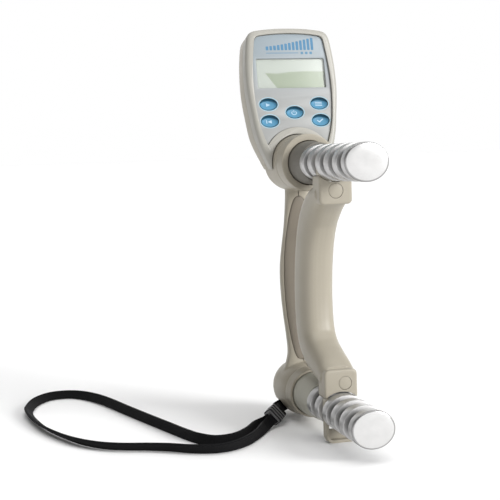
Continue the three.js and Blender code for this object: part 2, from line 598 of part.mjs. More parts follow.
function addHooks(handle) {
  const slot = POST_CORE * (POST_HALF_WIDTH / POST_HALF_HEIGHT) + 0.3;
  const [y0, y1] = [HOOK_Y - FORK_PLATE / 2, HOOK_Y + FORK_PLATE / 2];
  const fork = mirrored((p) => {
    p.moveTo(0, -12);
    p.lineTo(FORK_HALF_WIDTH, -12);
    p.lineTo(FORK_HALF_WIDTH, 2.6);
    p.quadraticCurveTo(FORK_HALF_WIDTH, 4.2, slot + 0.6, 4.2);
    p.lineTo(slot, 3.8);
    p.lineTo(slot, 0);
    p.absellipse(0, 0, slot, POST_CORE + 0.4, 0, -Math.PI / 2, true, 0);
  }, 8);
  add(handle, 'handle_fork', 'shell', common(upright(fork, y0, y1), landRoom(0.2)));
  const axis = -POST_SPACING;
  const wall = 1.6;
  const inner = FORK_HALF_WIDTH - wall;
  const clip = mirrored((p) => {
    p.moveTo(0, FLOOR_Z);
    p.lineTo(FORK_HALF_WIDTH - 3.9, FLOOR_Z);
    p.absarc(FORK_HALF_WIDTH - 3.9, FLOOR_Z + 3.9, 3.9, -Math.PI / 2, 0);
    p.lineTo(FORK_HALF_WIDTH, axis + 8);
    p.lineTo(slot, axis + 8);
    p.lineTo(inner, axis - 7);
    p.lineTo(inner, FLOOR_Z + 3.9);
    p.absarc(inner - 3.9 + wall, FLOOR_Z + 3.9, 3.9 - wall, 0, -Math.PI / 2, true);
    p.lineTo(0, FLOOR_Z + wall);
  }, 5);
  const room = join(lower(landRoom(0.2)), box(-20, 20, -90, -40, -160, axis - 1));
  const web = box(-inner - 0.5, inner + 0.5, y1 - 1.4, y1, FLOOR_Z + 0.8, axis - POST_HALF_HEIGHT - 0.5);
  add(handle, 'handle_clip', 'shell', common(join(upright(clip, y0, y1), web), room));
}

// ---------------------------------------------------------------- wrist strap
// The loop lies on its edge on the floor. Points are x, y in the object's own frame.
const SLIDER = { x: -22.1, y: -18, z: -137.4, length: 7.4, width: 9.4, height: 6 };
const LOOP_ROUTE = [
  [-33.5, -24.5], [-43.7, -38.6], [-52.4, -47.6], [-62.4, -49.2], [-69.4, -41.4], [-74, -30], [-80.1, -9.7],
  [-87, 13.7], [-95, 41.8], [-104.1, 73.9], [-112.6, 93.5], [-122, 102.2], [-133.5, 101], [-143.1, 88.3],
  [-148.3, 71.2], [-149.4, 60.1], [-148.5, 46], [-144.9, 23.2], [-139.3, 3.5], [-130.3, -19], [-120.3, -33.6],
  [-109.6, -41.4], [-98.2, -46.6], [-87.4, -52.8], [-77.3, -60.4], [-66.4, -64.4], [-57.4, -62.6],
  [-48, -55.4], [-38.6, -43], [-30.6, -29],
];

const STRAP_Z = FLOOR_Z + STRAP.width / 2 + 0.1;

function ribbon(points, steps) {
  const path = new THREE.CatmullRomCurve3(points.map(([x, y, z = STRAP_Z]) => new THREE.Vector3(x, y, z)));
  const [w, t, c] = [STRAP.width / 2, STRAP.thickness / 2, 0.5];
  const section = new THREE.Shape([
    [w, -t + c], [w, t - c], [w - c, t], [-w + c, t], [-w, t - c], [-w, -t + c], [-w + c, -t], [w - c, -t],
  ].map(([x, y]) => new THREE.Vector2(x, y)));
  return new THREE.ExtrudeGeometry(section, { steps, extrudePath: path });
}

function addStrap() {
  const along = new THREE.Vector2(-0.695, -0.718);
  const side = new THREE.Vector2(-along.y, along.x);
  const place = (distance, offset, z) => {
    const p = new THREE.Vector2(SLIDER.x, SLIDER.y)
      .addScaledVector(along, distance).addScaledVector(side, offset);
    return [p.x, p.y, z];
  };
  const near = STRAP.spacing / 2;
  const exit = (offset) => [
    [STRAP_EXIT.x - 0.7 * offset, STRAP_EXIT.y + 0.7 * offset, STRAP_EXIT.z],
    [-15.4 - 0.8 * offset, -3.2 + 0.6 * offset, -137],
    place(-6.4, -offset, -137.2),
  ];
  const loop = [place(6.4, -near, -139), ...LOOP_ROUTE, place(6.4, near, -139)];
  add(dynamometer, 'wrist_strap', 'webbing', ribbon(loop, 56));
  add(dynamometer, 'strap_leg_back', 'webbing', ribbon(exit(near), 6));
  add(dynamometer, 'strap_leg_front', 'webbing', ribbon(exit(-near), 6));
  const block = slab(roundedBox(SLIDER.length / 2, -SLIDER.width / 2, SLIDER.width / 2, 1.2),
    -SLIDER.height / 2, SLIDER.height / 2, 0.6, 1, 3);
  const [d, w] = [new THREE.Vector3(-0.657, -0.679, -0.328), new THREE.Vector3(0.62, -0.23, -0.76)];
  const n = d.clone().cross(w).normalize();
  const turn = new THREE.Matrix4().makeBasis(d.normalize(), n.clone().cross(d), n);
  add(dynamometer, 'strap_slider', 'webbing',
    block.applyMatrix4(turn).translate(SLIDER.x, SLIDER.y, SLIDER.z));
}

addCovers();
addFace();
addElectronics();
addFixedHandle();
addLoadCell();
addPosts();
addAdjustableHandle();
addStrap();

export default dynamometer;
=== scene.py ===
"""Looks of a digital hand dynamometer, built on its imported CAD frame.

Design sizes are in millimetres in the instrument's own frame, whose y axis is the axis of the
upper post. IN_PLACE, ON_LOWER_POST and ON_FACE turn them into metres in the row's frame.
"""

import json
import math

import bmesh
import bpy
from mathutils import Matrix, Vector
from mathutils.geometry import interpolate_bezier


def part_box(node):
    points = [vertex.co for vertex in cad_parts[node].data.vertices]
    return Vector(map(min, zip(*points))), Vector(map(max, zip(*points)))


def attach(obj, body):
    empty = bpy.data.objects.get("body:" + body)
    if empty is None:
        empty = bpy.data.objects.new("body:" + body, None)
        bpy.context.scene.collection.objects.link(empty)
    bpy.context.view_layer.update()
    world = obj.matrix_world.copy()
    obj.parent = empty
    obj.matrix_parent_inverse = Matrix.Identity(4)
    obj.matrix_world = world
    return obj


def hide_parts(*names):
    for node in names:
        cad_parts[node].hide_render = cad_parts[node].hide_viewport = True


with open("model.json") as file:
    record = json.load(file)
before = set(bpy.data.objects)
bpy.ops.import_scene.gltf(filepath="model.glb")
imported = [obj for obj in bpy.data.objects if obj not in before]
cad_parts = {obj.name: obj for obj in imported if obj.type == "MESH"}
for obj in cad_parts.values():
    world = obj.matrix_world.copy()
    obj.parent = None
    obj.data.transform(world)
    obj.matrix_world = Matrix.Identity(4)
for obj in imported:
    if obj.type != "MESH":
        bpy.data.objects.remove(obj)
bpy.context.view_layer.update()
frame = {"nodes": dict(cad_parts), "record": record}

# ---- sizes, in mm
MM = 0.001
POST_SPACING = 127.0
GRIP_PITCH = 12.7
GRIP_POSITIONS = 5
POST_HALF_HEIGHT = 9.4
POST_HALF_WIDTH = 11.1
POST_WIDEN = POST_HALF_WIDTH / POST_HALF_HEIGHT
POST_CORE = 5.8
FIRST_LAND_Y = -42.1
LAND = 6.4
POST_TIP_Y = -111.6
MOUTH_R = 12.0
UPPER_BOSS_R = 15.5
LOWER_BOSS_R = 15.1
BOSS_FRONT = {"upper": -14.0, "lower": -12.0}
HEAD_TILT = math.radians(11.6)
FACE_Y = -7.35
RIM = 1.1
DRAFT = 0.0015
COVER_JOINT = -8.0
HEAD_BACK = -23.0
WELL_FLOOR = HEAD_BACK + 5
HANDLE_HALF_WIDTH = 9.5
HOOK_Y = FIRST_LAND_Y - GRIP_PITCH - LAND - (GRIP_PITCH - LAND) / 2
KEY_PLACES = {
    "test": (-14.8, 33.4),
    "mode": (14.8, 33.4),
    "power": (0.0, 28.6),
    "reset": (-14.8, 23.8),
    "enter": (14.8, 23.8),
}
KEY_HALF = (4.9, 3.2)
SCREEN = (-19.9, 42.6, 19.9, 59.5)
DOOR = (-18.0, 32.0, 18.0, 57.0)
COVER_SCREWS = [(-18.6, 67.5), (18.6, 67.5), (-19.6, 20.5), (19.6, 20.5)]
HANDLE_SCREWS = [(11, 5), (11, -5), (13, -POST_SPACING + 5.5), (13, -POST_SPACING - 5.5)]

post_low, post_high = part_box("upper_post")
ORIGIN = Vector((0, post_low.y - POST_TIP_Y * MM, (post_low.z + post_high.z) / 2))
FLOOR = -ORIGIN.z / MM
IN_PLACE = Matrix.Translation(ORIGIN) @ Matrix.Scale(MM, 4)
ON_LOWER_POST = IN_PLACE @ Matrix.Translation((0, 0, -POST_SPACING))
POSTS = {"upper": IN_PLACE, "lower": ON_LOWER_POST}
ON_FACE = IN_PLACE @ Matrix.Translation((0, FACE_Y, 0)) @ Matrix.Rotation(math.pi / 2 - HEAD_TILT, 4, "X")


def in_scene(name, data):
    obj = bpy.data.objects.new(name, data)
    bpy.context.scene.collection.objects.link(obj)
    return obj


# ---- camera and light
VIEW_FROM = (math.radians(-15.2), math.radians(4.38))
VIEW_ROLL = math.radians(1.92)
VIEW_TARGET = (-25.3, 0.0, -44.0)
VIEW_DISTANCE = 631.0


def add_camera():
    azimuth, elevation = VIEW_FROM
    forward = Vector((
        -math.sin(azimuth) * math.cos(elevation),
        math.cos(azimuth) * math.cos(elevation),
        -math.sin(elevation),
    ))
    right = Vector((math.cos(azimuth), math.sin(azimuth), 0))
    up = right.cross(forward)
    turn = Matrix.Rotation(VIEW_ROLL, 3, forward)
    right, up = turn @ right, turn @ up
    data = bpy.data.cameras.new("camera")
    data.sensor_width = 36
    data.lens = 81.54
    data.shift_x, data.shift_y = -0.0092, -0.0133
    data.clip_start = 0.01
    camera = in_scene("camera", data)
    axes = Matrix((right, up, -forward)).transposed().to_4x4()
    eye = IN_PLACE @ Vector(VIEW_TARGET) - forward * VIEW_DISTANCE * MM
    camera.matrix_world = Matrix.Translation(eye) @ axes
    bpy.context.scene.camera = camera


def add_sun(name, azimuth, elevation, strength, softness):
    """A distant soft light; its azimuth is counted from straight in front to the right."""
    data = bpy.data.lights.new(name, "SUN")
    data.energy = strength
    data.angle = math.radians(softness)
    lamp = in_scene(name, data)
    turn, lift = math.radians(azimuth), math.radians(elevation)
    towards = (math.sin(turn) * math.cos(lift), -math.cos(turn) * math.cos(lift), math.sin(lift))
    lamp.rotation_euler = Vector(towards).to_track_quat("Z", "Y").to_euler()


def add_world():
    """A white backdrop whose light is bright along the horizon, dim overhead and in front to the right."""
    world = bpy.data.worlds.new("studio")
    world.use_nodes = True
    tree = Tree(world.node_tree)
    background = world.node_tree.nodes["Background"]
    background.inputs["Color"].default_value = (1, 1, 1, 1)
    direction = tree.split(tree.add("ShaderNodeTexCoord").outputs["Generated"])
    overhead = tree.map_range(direction["Z"], (0.14, 0.4), (1.0, 0.22))
    corner = tree.math("MULTIPLY", direction["X"], direction["Y"])
    front_right = tree.map_range(corner, (-0.26, -0.42), (1.0, 0.4))
    light = tree.math("MULTIPLY", overhead, front_right)
    seen = tree.add("ShaderNodeLightPath").outputs["Is Camera Ray"]
    tree.link(tree.math("MAXIMUM", light, seen), background.inputs["Strength"])
    bpy.context.scene.world = world


def add_studio():
    add_sun("key_light", 42, 21, 3.3, 28)
    add_sun("top_light", 10, 78, 1.4, 60)
    add_sun("back_light", 165, 25, 0.7, 60)
    add_world()
    bpy.context.scene.view_settings.view_transform = "Standard"
    mesh = bpy.data.meshes.new("floor")
    reach = 60.0
    corners = [(-reach, -reach, 0), (reach, -reach, 0), (reach, reach, 0), (-reach, reach, 0)]
    mesh.from_pydata(corners, [], [(0, 1, 2, 3)])
    floor = in_scene("floor", mesh)
    mesh.materials.append(new_material("floor_white", (0.93, 0.93, 0.93), 0.9, Specular_IOR_Level=0.1))


# ---- materials
def new_material(name, color, roughness, metallic=0.0, **sockets):
    material = bpy.data.materials.new(name)
    material.use_nodes = True
    shader = material.node_tree.nodes["Principled BSDF"]
    shader.inputs["Base Color"].default_value = (*color, 1)
    shader.inputs["Roughness"].default_value = roughness
    shader.inputs["Metallic"].default_value = metallic
    for socket, value in sockets.items():
        shader.inputs[socket.replace("_", " ")].default_value = value
    return material


class Tree:
    """Short names for building a node tree."""

    def __init__(self, tree):
        self.tree = tree

    def add(self, kind, **settings):
        node = self.tree.nodes.new(kind)
        for name, value in settings.items():
            setattr(node, name, value)
        return node

    def link(self, source, target):
        self.tree.links.new(source, target)

    def split(self, vector):
        node = self.add("ShaderNodeSeparateXYZ")
        self.link(vector, node.inputs[0])
        return node.outputs

    def math(self, operation, a, b=0.0):
        node = self.add("ShaderNodeMath", operation=operation)
        for socket, value in zip(node.inputs, (a, b)):
            if isinstance(value, (int, float)):
                socket.default_value = value
            else:
                self.link(value, socket)
        return node.outputs[0]

    def map_range(self, value, given=(0, 1), wanted=(0, 1), interpolation="LINEAR"):
        node = self.add("ShaderNodeMapRange", interpolation_type=interpolation)
        self.link(value, node.inputs["Value"])
        for socket, number in zip(("From Min", "From Max", "To Min", "To Max"), (*given, *wanted)):
            node.inputs[socket].default_value = number
        return node.outputs[0]


class Nodes(Tree):
    """The nodes of one material, with its shader and its object coordinates."""

    def __init__(self, material):
        super().__init__(material.node_tree)
        self.shader = self.tree.nodes["Principled BSDF"]
        self.object = self.add("ShaderNodeTexCoord").outputs["Object"]
        self.place = self.split(self.object)

    def noise(self, scale, detail=3.0, stretch=(1, 1, 1)):
        mapping = self.add("ShaderNodeMapping")
        mapping.inputs["Scale"].default_value = stretch
        self.link(self.object, mapping.inputs["Vector"])
        noise = self.add("ShaderNodeTexNoise")
        noise.inputs["Scale"].default_value = scale
        noise.inputs["Detail"].default_value = detail
        self.link(mapping.outputs[0], noise.inputs["Vector"])
        return noise.outputs["Fac"]

    def ramp(self, value, low, high):
        return self.map_range(value, (low, high), interpolation="SMOOTHSTEP")

    def mix(self, factor, a, b):
        node = self.add("ShaderNodeMix", data_type="RGBA")
        self.link(factor, node.inputs["Factor"])
        for socket, value in ((node.inputs[6], a), (node.inputs[7], b)):
            if isinstance(value, tuple):
                socket.default_value = (*value, 1)
            else:
                self.link(value, socket)
        return node.outputs[2]

    def color(self, source):
        self.link(source, self.shader.inputs["Base Color"])

    def roughness(self, source, low, high):
        self.link(self.map_range(source, wanted=(low, high)), self.shader.inputs["Roughness"])

    def bump(self, height, distance):
        node = self.add("ShaderNodeBump")
        node.inputs["Distance"].default_value = distance
        node.inputs["Strength"].default_value = 1.0
        self.link(height, node.inputs["Height"])
        normal = self.shader.inputs["Normal"]
        if normal.is_linked:
            self.link(normal.links[0].from_socket, node.inputs["Normal"])
        self.link(node.outputs[0], normal)


def shade(color, factor):
    return tuple(min(1.0, c * factor) for c in color)


def moulded_plastic(name, color, roughness=0.42, grain=0.00003):
    """Moulded ABS: cloudy colour, satin skin with a fine spark-eroded grain."""
    material = new_material(name, color, roughness, Specular_IOR_Level=0.45)
    nodes = Nodes(material)
    cloud = nodes.noise(38, 4)
    speck = nodes.noise(2600, 2)
    tint = nodes.mix(cloud, shade(color, 0.93), shade(color, 1.05))
    nodes.color(nodes.mix(nodes.ramp(speck, 0.62, 0.75), tint, shade(color, 0.88)))
    nodes.roughness(nodes.noise(160, 3), roughness - 0.06, roughness + 0.08)
    nodes.bump(nodes.noise(1500, 2), grain)
    return material


def key_plastic(name, color, painted_shade):
    """The blue keys: moulded plastic, painted darker as painted shade wherever a surface faces down, as the
    upper walls of the dish do.
    """
    material = moulded_plastic(name, color, 0.5)
    nodes = Nodes(material)
    facing = nodes.split(nodes.add("ShaderNodeNewGeometry").outputs["Normal"])
    # Painted shade: faces turned downwards get the darker blue.
    under = nodes.ramp(facing["Z"], 0.02, -0.35)
    nodes.color(nodes.mix(under, nodes.shader.inputs["Base Color"].links[0].from_socket, painted_shade))
    return material


def turned_metal(name, color):
    """Turned steel: fine tool rings and faint handling marks, with painted shade in the grooves and on the
    end's rounded edge, and a painted reflection that lightens the end face.
    """
    material = new_material(name, color, 0.3, 1.0)
    nodes = Nodes(material)
    rings = nodes.noise(420, 3, (0.02, 3.2, 0.02))
    smudge = nodes.noise(70, 4)
    heights = [nodes.math("SUBTRACT", nodes.place["Z"], ORIGIN.z - gap * MM) for gap in (0, POST_SPACING)]
    height = nodes.math("MINIMUM", *[nodes.math("ABSOLUTE", above) for above in heights])
    across = nodes.math("DIVIDE", nodes.place["X"], POST_WIDEN)
    squares = [nodes.math("POWER", value, 2.0) for value in (across, height)]
    radius = nodes.math("SQRT", nodes.math("ADD", *squares))
    # Painted shade: the grooves, inside the lands' radius, get a much darker colour.
    groove_shade_mask = nodes.ramp(radius, (POST_CORE + 0.5) * MM, (POST_HALF_HEIGHT - 0.15) * MM)
    tip = ORIGIN.y + POST_TIP_Y * MM
    end_face = nodes.ramp(nodes.place["Y"], tip + 0.00055, tip + 0.00045)
    # Painted shade: the rounded corner just behind the end face is darkened.
    end_corner_shade = nodes.ramp(nodes.place["Y"], tip + 0.0014, tip + 0.001)
    land = nodes.math("MULTIPLY", groove_shade_mask, nodes.math("SUBTRACT", 1.0, end_corner_shade))
    out_of_painted_shade = nodes.math("MAXIMUM", land, end_face)
    tint = nodes.mix(rings, shade(color, 0.66), shade(color, 0.96))
    # Painted shade: the end face's outer ring is darkened.
    end_face_edge_shade = nodes.ramp(radius, (POST_HALF_HEIGHT - 0.9) * MM, (POST_HALF_HEIGHT - 0.45) * MM)
    # Painted reflection: the end face gets a lighter colour than the lands.
    end_face_reflection = nodes.mix(nodes.noise(260, 4), shade(color, 1.0), shade(color, 1.22))
    bright = nodes.mix(end_face, tint, nodes.mix(end_face_edge_shade, end_face_reflection, shade(color, 0.5)))
    nodes.color(nodes.mix(out_of_painted_shade, shade(color, 0.46), bright))
    nodes.roughness(nodes.math("SUBTRACT", smudge, end_face), 0.24, 0.62)
    nodes.bump(rings, 0.00003)
    return material


def uneven(name, color, cloud, gloss, grain, metallic=0.0, stretch=(1, 1, 1)):
    """A finish from three noises: shades of its colour, its roughness, and a fine grain.

    cloud is (scale, detail, darkest, lightest), gloss is (scale, detail, smoothest, roughest) and
    grain is (scale, detail, depth in m).
    """
    material = new_material(name, color, gloss[3], metallic)
    nodes = Nodes(material)
    tint = nodes.noise(*cloud[:2], stretch)
    nodes.color(nodes.mix(tint, shade(color, cloud[2]), shade(color, cloud[3])))
    nodes.roughness(nodes.noise(*gloss[:2]), *gloss[2:])
    nodes.bump(nodes.noise(*grain[:2], stretch), grain[2])
    return material


def soft_rubber(name, color):
    return uneven(name, color, (60, 4, 0.88, 1.1), (300, 2, 0.52, 0.7), (1800, 2, 0.00004))


def speckled(name, color, roughness=0.5):
    """Plain moulded or coated stock with fine colour specks."""
    gloss = (200, 2, roughness - 0.08, roughness + 0.1)
    return uneven(name, color, (500, 3, 0.8, 1.35), gloss, (1600, 2, 0.00003))


def milled_metal(name, color):
    """Metal with fine milling lines."""
    lines = (1, 0.05, 0.05)
    return uneven(name, color, (700, 2, 0.85, 1.1), (240, 3, 0.28, 0.5), (700, 2, 0.00002), 1.0, lines)


def woven_nylon(name, color, picks_per_m, ribs_across):
    """A flat woven band: warp ribs along it and weft picks across it."""
    sheen = {"Sheen_Weight": 0.02, "Sheen_Roughness": 0.5, "Specular_IOR_Level": 0.1}
    material = new_material(name, color, 0.8, **sheen)
    nodes = Nodes(material)
    band = nodes.split(nodes.add("ShaderNodeTexCoord").outputs["UV"])
    picks = nodes.math("SINE", nodes.math("MULTIPLY", band["X"], 2 * math.pi * picks_per_m))
    ribs = nodes.math("SINE", nodes.math("MULTIPLY", band["Y"], 2 * math.pi * ribs_across))
    level = nodes.ramp(nodes.math("MULTIPLY", picks, ribs), -1, 1)
    fuzz = nodes.noise(1400, 3)
    tint = nodes.mix(level, shade(color, 0.55), shade(color, 1.7))
    nodes.color(nodes.mix(nodes.math("MULTIPLY", fuzz, 0.35), tint, shade(color, 2.2)))
    nodes.roughness(fuzz, 0.7, 0.9)
    nodes.bump(level, 0.0002)
    nodes.bump(fuzz, 0.00006)
    return material


def printed_overlay(name, color, top_color):
    """The faceplate's satin polyester overlay, which turns from grey to pale blue at its top."""
    material = new_material(name, color, 0.5)
    nodes = Nodes(material)
    height = nodes.ramp(nodes.place["Z"], ORIGIN.z + 0.03, ORIGIN.z + 0.07)
    tint = nodes.mix(height, color, top_color)
    nodes.color(nodes.mix(nodes.math("MULTIPLY", nodes.noise(900, 2), 0.25), tint, shade(color, 0.86)))
    nodes.roughness(nodes.noise(220, 3), 0.38, 0.55)
    nodes.bump(nodes.noise(2400, 1), 0.00001)
    return material


def liquid_crystal(name, pale, green):
    """An unlit display, green below a wavering, slanting edge, and pale at its top and left, where the pale
    colour is a painted reflection of glare.
    """
    material = new_material(name, pale, 0.35)
    nodes = Nodes(material)
    wander = nodes.math("MULTIPLY", nodes.math("SUBTRACT", nodes.noise(60, 1), 0.5), 0.004)
    low = nodes.ramp(nodes.math("ADD", nodes.place["Z"], wander), ORIGIN.z + 0.0515, ORIGIN.z + 0.0500)
    slope = 0.75
    slant = nodes.math("ADD", nodes.place["X"], nodes.math("MULTIPLY", nodes.place["Z"], slope))
    edge = -0.012 + slope * (ORIGIN.z + 0.047)
    right = nodes.ramp(nodes.math("ADD", slant, wander), edge - 0.0008, edge + 0.0008)
    # Painted reflection: the pale colour stands for glare on the glass; the green is the display's own
    # colour.
    nodes.color(nodes.mix(nodes.math("MULTIPLY", low, right), pale, green))
    nodes.roughness(nodes.noise(400, 2), 0.25, 0.4)
    return material


def clear_window(name):
    """A thin clear sheet, nearly all of it see-through."""
    material = new_material(name, (0.93, 0.95, 0.93), 0.06, Alpha=0.08, IOR=1.3, Specular_IOR_Level=0.2)
    nodes = Nodes(material)
    nodes.roughness(nodes.noise(120, 3), 0.04, 0.12)
    return material


def solder_mask(name, color):
    """A circuit board's lacquer, with its tracks showing through."""
    material = new_material(name, color, 0.35)
    nodes = Nodes(material)
    tracks = nodes.ramp(nodes.noise(520, 0, (1, 0.25, 1)), 0.5, 0.53)
    nodes.color(nodes.mix(tracks, shade(color, 0.75), shade(color, 1.35)))
    nodes.bump(tracks, 0.00003)
    return material


WARM = (0.335, 0.305, 0.245)
PALE = (0.345, 0.335, 0.30)
# The front pad's colour, darker than the shells' as painted shade.
PAD_SHADED = (0.19, 0.165, 0.13)
# The sleeves' colours: the upper one darker as painted shade, the lower one paler as painted light; the
# sleeves are otherwise alike.
SLEEVE_LIT_AND_SHADED = {"upper": (0.15, 0.14, 0.12), "lower": (0.42, 0.41, 0.35)}
MATERIALS = {
    "shell_plastic": moulded_plastic("warm_grey_shell", WARM),
    "shell_plastic_light": moulded_plastic("pale_grey_shell", PALE, 0.4),
    "face_label": printed_overlay("face_overlay", (0.30, 0.305, 0.30), (0.25, 0.30, 0.335)),
    "screen_window": clear_window("screen_window"),
    "screen_panel": liquid_crystal("liquid_crystal", (0.365, 0.40, 0.355), (0.195, 0.245, 0.15)),
    # The keys' second colour is painted shade for their downward faces.
    "key_plastic": key_plastic("key_blue", (0.065, 0.225, 0.36), (0.008, 0.07, 0.12)),
    "board": solder_mask("solder_mask", (0.03, 0.16, 0.07)),
    "chip_plastic": speckled("chip_epoxy", (0.02, 0.02, 0.022)),
    "cell_jacket": speckled("cell_jacket", (0.10, 0.12, 0.16), 0.3),
    "screw_steel": milled_metal("plated_steel", (0.62, 0.61, 0.60)),
    "post_metal": turned_metal("turned_steel", (0.66, 0.655, 0.65)),
    "beam_alloy": milled_metal("beam_alloy", (0.66, 0.66, 0.67)),
    "gauge_foil": speckled("gauge_foil", (0.55, 0.28, 0.05), 0.4),
    "strap_webbing": woven_nylon("black_webbing", (0.0035, 0.0035, 0.004), 420, 9),
    "slider_plastic": speckled("slider_black", (0.13, 0.13, 0.132), 0.4),
}
SLOT_OF = {s["node"]: s["material_slot"] for s in frame["record"]["subparts"]}


# ---- mesh helpers
def edge_bevel(width, angle=50):
    """Settings for a small round on the edges sharper than angle."""
    return ("BEVEL", {
        "width": width * MM, "segments": 2, "limit_method": "ANGLE", "angle_limit": math.radians(angle),
    })


def side_faces(rows, count):
    """Quads between each of the rows of count points and the next, all the way round."""
    corners = [(k, (k + 1) % count) for k in range(count)]
    return [
        (i * count + k, i * count + m, (i + 1) * count + m, (i + 1) * count + k)
        for i in range(rows - 1) for k, m in corners
    ]


def end_faces(rows, count):
    return tuple(range(count)), tuple((rows - 1) * count + k for k in range(count))


def finish_piece(mesh, name, body, slot, replaces=(), material=None, smooth_angle=35.0):
    """Links a mesh as a piece that rides on a body, with its finish and smooth shading."""
    obj = in_scene(name, mesh)
    mesh.materials.clear()
    mesh.materials.append(material or MATERIALS[slot])
    mesh.shade_smooth()
    if smooth_angle:
        mesh.set_sharp_from_angle(angle=math.radians(smooth_angle))
    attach(obj, body)
    if replaces:
        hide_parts(*replaces)
    return obj


def mesh_from(name, verts, faces, matrix=IN_PLACE):
    mesh = bpy.data.meshes.new(name)
    mesh.from_pydata([matrix @ Vector(v) for v in verts], [], faces)
    tidy_mesh(mesh)
    return mesh


def tidy_mesh(mesh):
    bm = bmesh.new()
    bm.from_mesh(mesh)
    bmesh.ops.remove_doubles(bm, verts=bm.verts, dist=0.000002)
    bmesh.ops.recalc_face_normals(bm, faces=bm.faces)
    bm.to_mesh(mesh)
    bm.free()


def turned(name, profile, matrix=IN_PLACE, segments=96, widen=1.0):
    """A closed profile of (radius, y) points turned about a line along Y, and widened along X."""
    verts, faces = [], []
    count = len(profile)
    on_axis = [r < 1e-6 for r, _ in profile]
    for i in range(segments):
        a = 2 * math.pi * i / segments
        verts += [(widen * r * math.cos(a), y, r * math.sin(a)) for r, y in profile]
    for i in range(segments):
        j = (i + 1) % segments
        for k in range(count):
            m = (k + 1) % count
            if not (on_axis[k] and on_axis[m]):
                faces.append((i * count + k, i * count + m, j * count + m, j * count + k))
    return mesh_from(name, verts, faces, matrix)


def rounded(profile, radii, steps=4):
    """The profile with the corners named in radii {index: radius} turned into arcs."""
    out = []
    count = len(profile)
    for i, corner in enumerate(profile):
        if i not in radii:
            out.append(corner)
            continue
        radius = radii[i]
        p = Vector(corner)
        before = (Vector(profile[i - 1]) - p).normalized()
        after = (Vector(profile[(i + 1) % count]) - p).normalized()
        half = before.angle(after) / 2
        reach = radius / math.tan(half)
        a, b = p + before * reach, p + after * reach
        weight = math.sin(half)
        for k in range(steps + 1):
            t = k / steps
            u, v, w = (1 - t) ** 2, 2 * t * (1 - t) * weight, t ** 2
            out.append(tuple((a * u + p * v + b * w) / (u + v + w)))
    return out


def rod(radius, start, end):
    """The profile of a plain round rod, or hole, between two distances along its axis."""
    return [(0, start), (radius, start), (radius, end), (0, end)]


def loft(name, rings, matrix=IN_PLACE):
    """A skin over rings of points, with both ends closed."""
    rows, count = len(rings), len(rings[0])
    verts = [p for ring in rings for p in ring]
    faces = side_faces(rows, count) + list(end_faces(rows, count))
    return mesh_from(name, verts, faces, matrix)


def box_mesh(name, low, high):
    corners = [(low[0], low[1]), (high[0], low[1]), (high[0], high[1]), (low[0], high[1])]
    return loft(name, [[(x, y, z) for x, y in corners] for z in (low[2], high[2])])


def sweep(start, end, steps):
    """Angles from start to end, in steps equal parts."""
    return [start + (end - start) * k / steps for k in range(steps + 1)]


def oval(half_width, half_height, centre=(0, 0), steps=40):
    turn = sweep(0, 2 * math.pi, steps)[:-1]
    return [(centre[0] + half_width * math.cos(a), centre[1] + half_height * math.sin(a)) for a in turn]


def rounded_box(x0, y0, x1, y1, radius, steps=6):
    out = []
    for cx, cy, start in (
        (x1 - radius, y0 + radius, -90), (x1 - radius, y1 - radius, 0),
        (x0 + radius, y1 - radius, 90), (x0 + radius, y0 + radius, 180),
    ):
        turn = [math.radians(a) for a in sweep(start, start + 90, steps)]
        out += [(cx + radius * math.cos(a), cy + radius * math.sin(a)) for a in turn]
    return out


def inset_box(box, inset, radius):
    x0, y0, x1, y1 = box
    return rounded_box(x0 + inset, y0 + inset, x1 - inset, y1 - inset, radius)


def bezier_path(start, *curves, steps=10):
    """A line through the end of each curve (handle, handle, end), with steps points on each."""
    points = [start]
    for c1, c2, end in curves:
        here = Vector((*points[-1], 0))
        curve = interpolate_bezier(here, Vector((*c1, 0)), Vector((*c2, 0)), Vector((*end, 0)), steps + 1)
        points += [(p.x, p.y) for p in curve[1:]]
    return points


def mirrored(right):
    return right + [(-x, y) for x, y in reversed(right) if x > 1e-6]


def plate(name, outlines, z0, z1, bevel=0.0, matrix=ON_FACE):
    """A flat plate between two depths: the first outline is its edge, the rest are holes."""
    curve = bpy.data.curves.new(name, "CURVE")
    curve.dimensions = "2D"
    curve.fill_mode = "BOTH"
    curve.extrude = (z1 - z0) / 2 - bevel
    curve.bevel_depth = bevel
    curve.bevel_resolution = 3
    curve.offset = -bevel
    for outline in outlines:
        spline = curve.splines.new("POLY")
        spline.points.add(len(outline) - 1)
        for point, (x, y) in zip(spline.points, outline):
            point.co = (x, y, 0, 1)
        spline.use_cyclic_u = True
    mesh = evaluated(name, curve)
    mesh.transform(matrix @ Matrix.Translation((0, 0, (z0 + z1) / 2)))
    tidy_mesh(mesh)
    return mesh


def evaluated(name, data, modifiers=()):
    """The mesh that a curve or mesh becomes under a list of (type, {setting: value}) modifiers."""
    helper = in_scene("helper", data)
    for kind, values in modifiers:
        modifier = helper.modifiers.new(kind, kind)
        for key, value in values.items():
            setattr(modifier, key, value)
    bpy.context.view_layer.update()
    out = bpy.data.meshes.new_from_object(helper.evaluated_get(bpy.context.evaluated_depsgraph_get()))
    out.name = name
    bpy.data.objects.remove(helper)
    return out


def joined(name, *meshes):
    bm = bmesh.new()
    for mesh in meshes:
        bm.from_mesh(mesh)
    out = bpy.data.meshes.new(name)
    bm.to_mesh(out)
    bm.free()
    return out


def with_modifiers(mesh, *modifiers):
    return evaluated(mesh.name, mesh, modifiers)


def boolean(mesh, *tools, operation="DIFFERENCE"):
    """The mesh less each of the tools in turn, or combined with them in another way."""
    for tool in tools:
        helper = in_scene("tool", tool)
        settings = {"operation": operation, "object": helper, "solver": "EXACT"}
        mesh = with_modifiers(mesh, ("BOOLEAN", settings))
        bpy.data.objects.remove(helper)
    return mesh


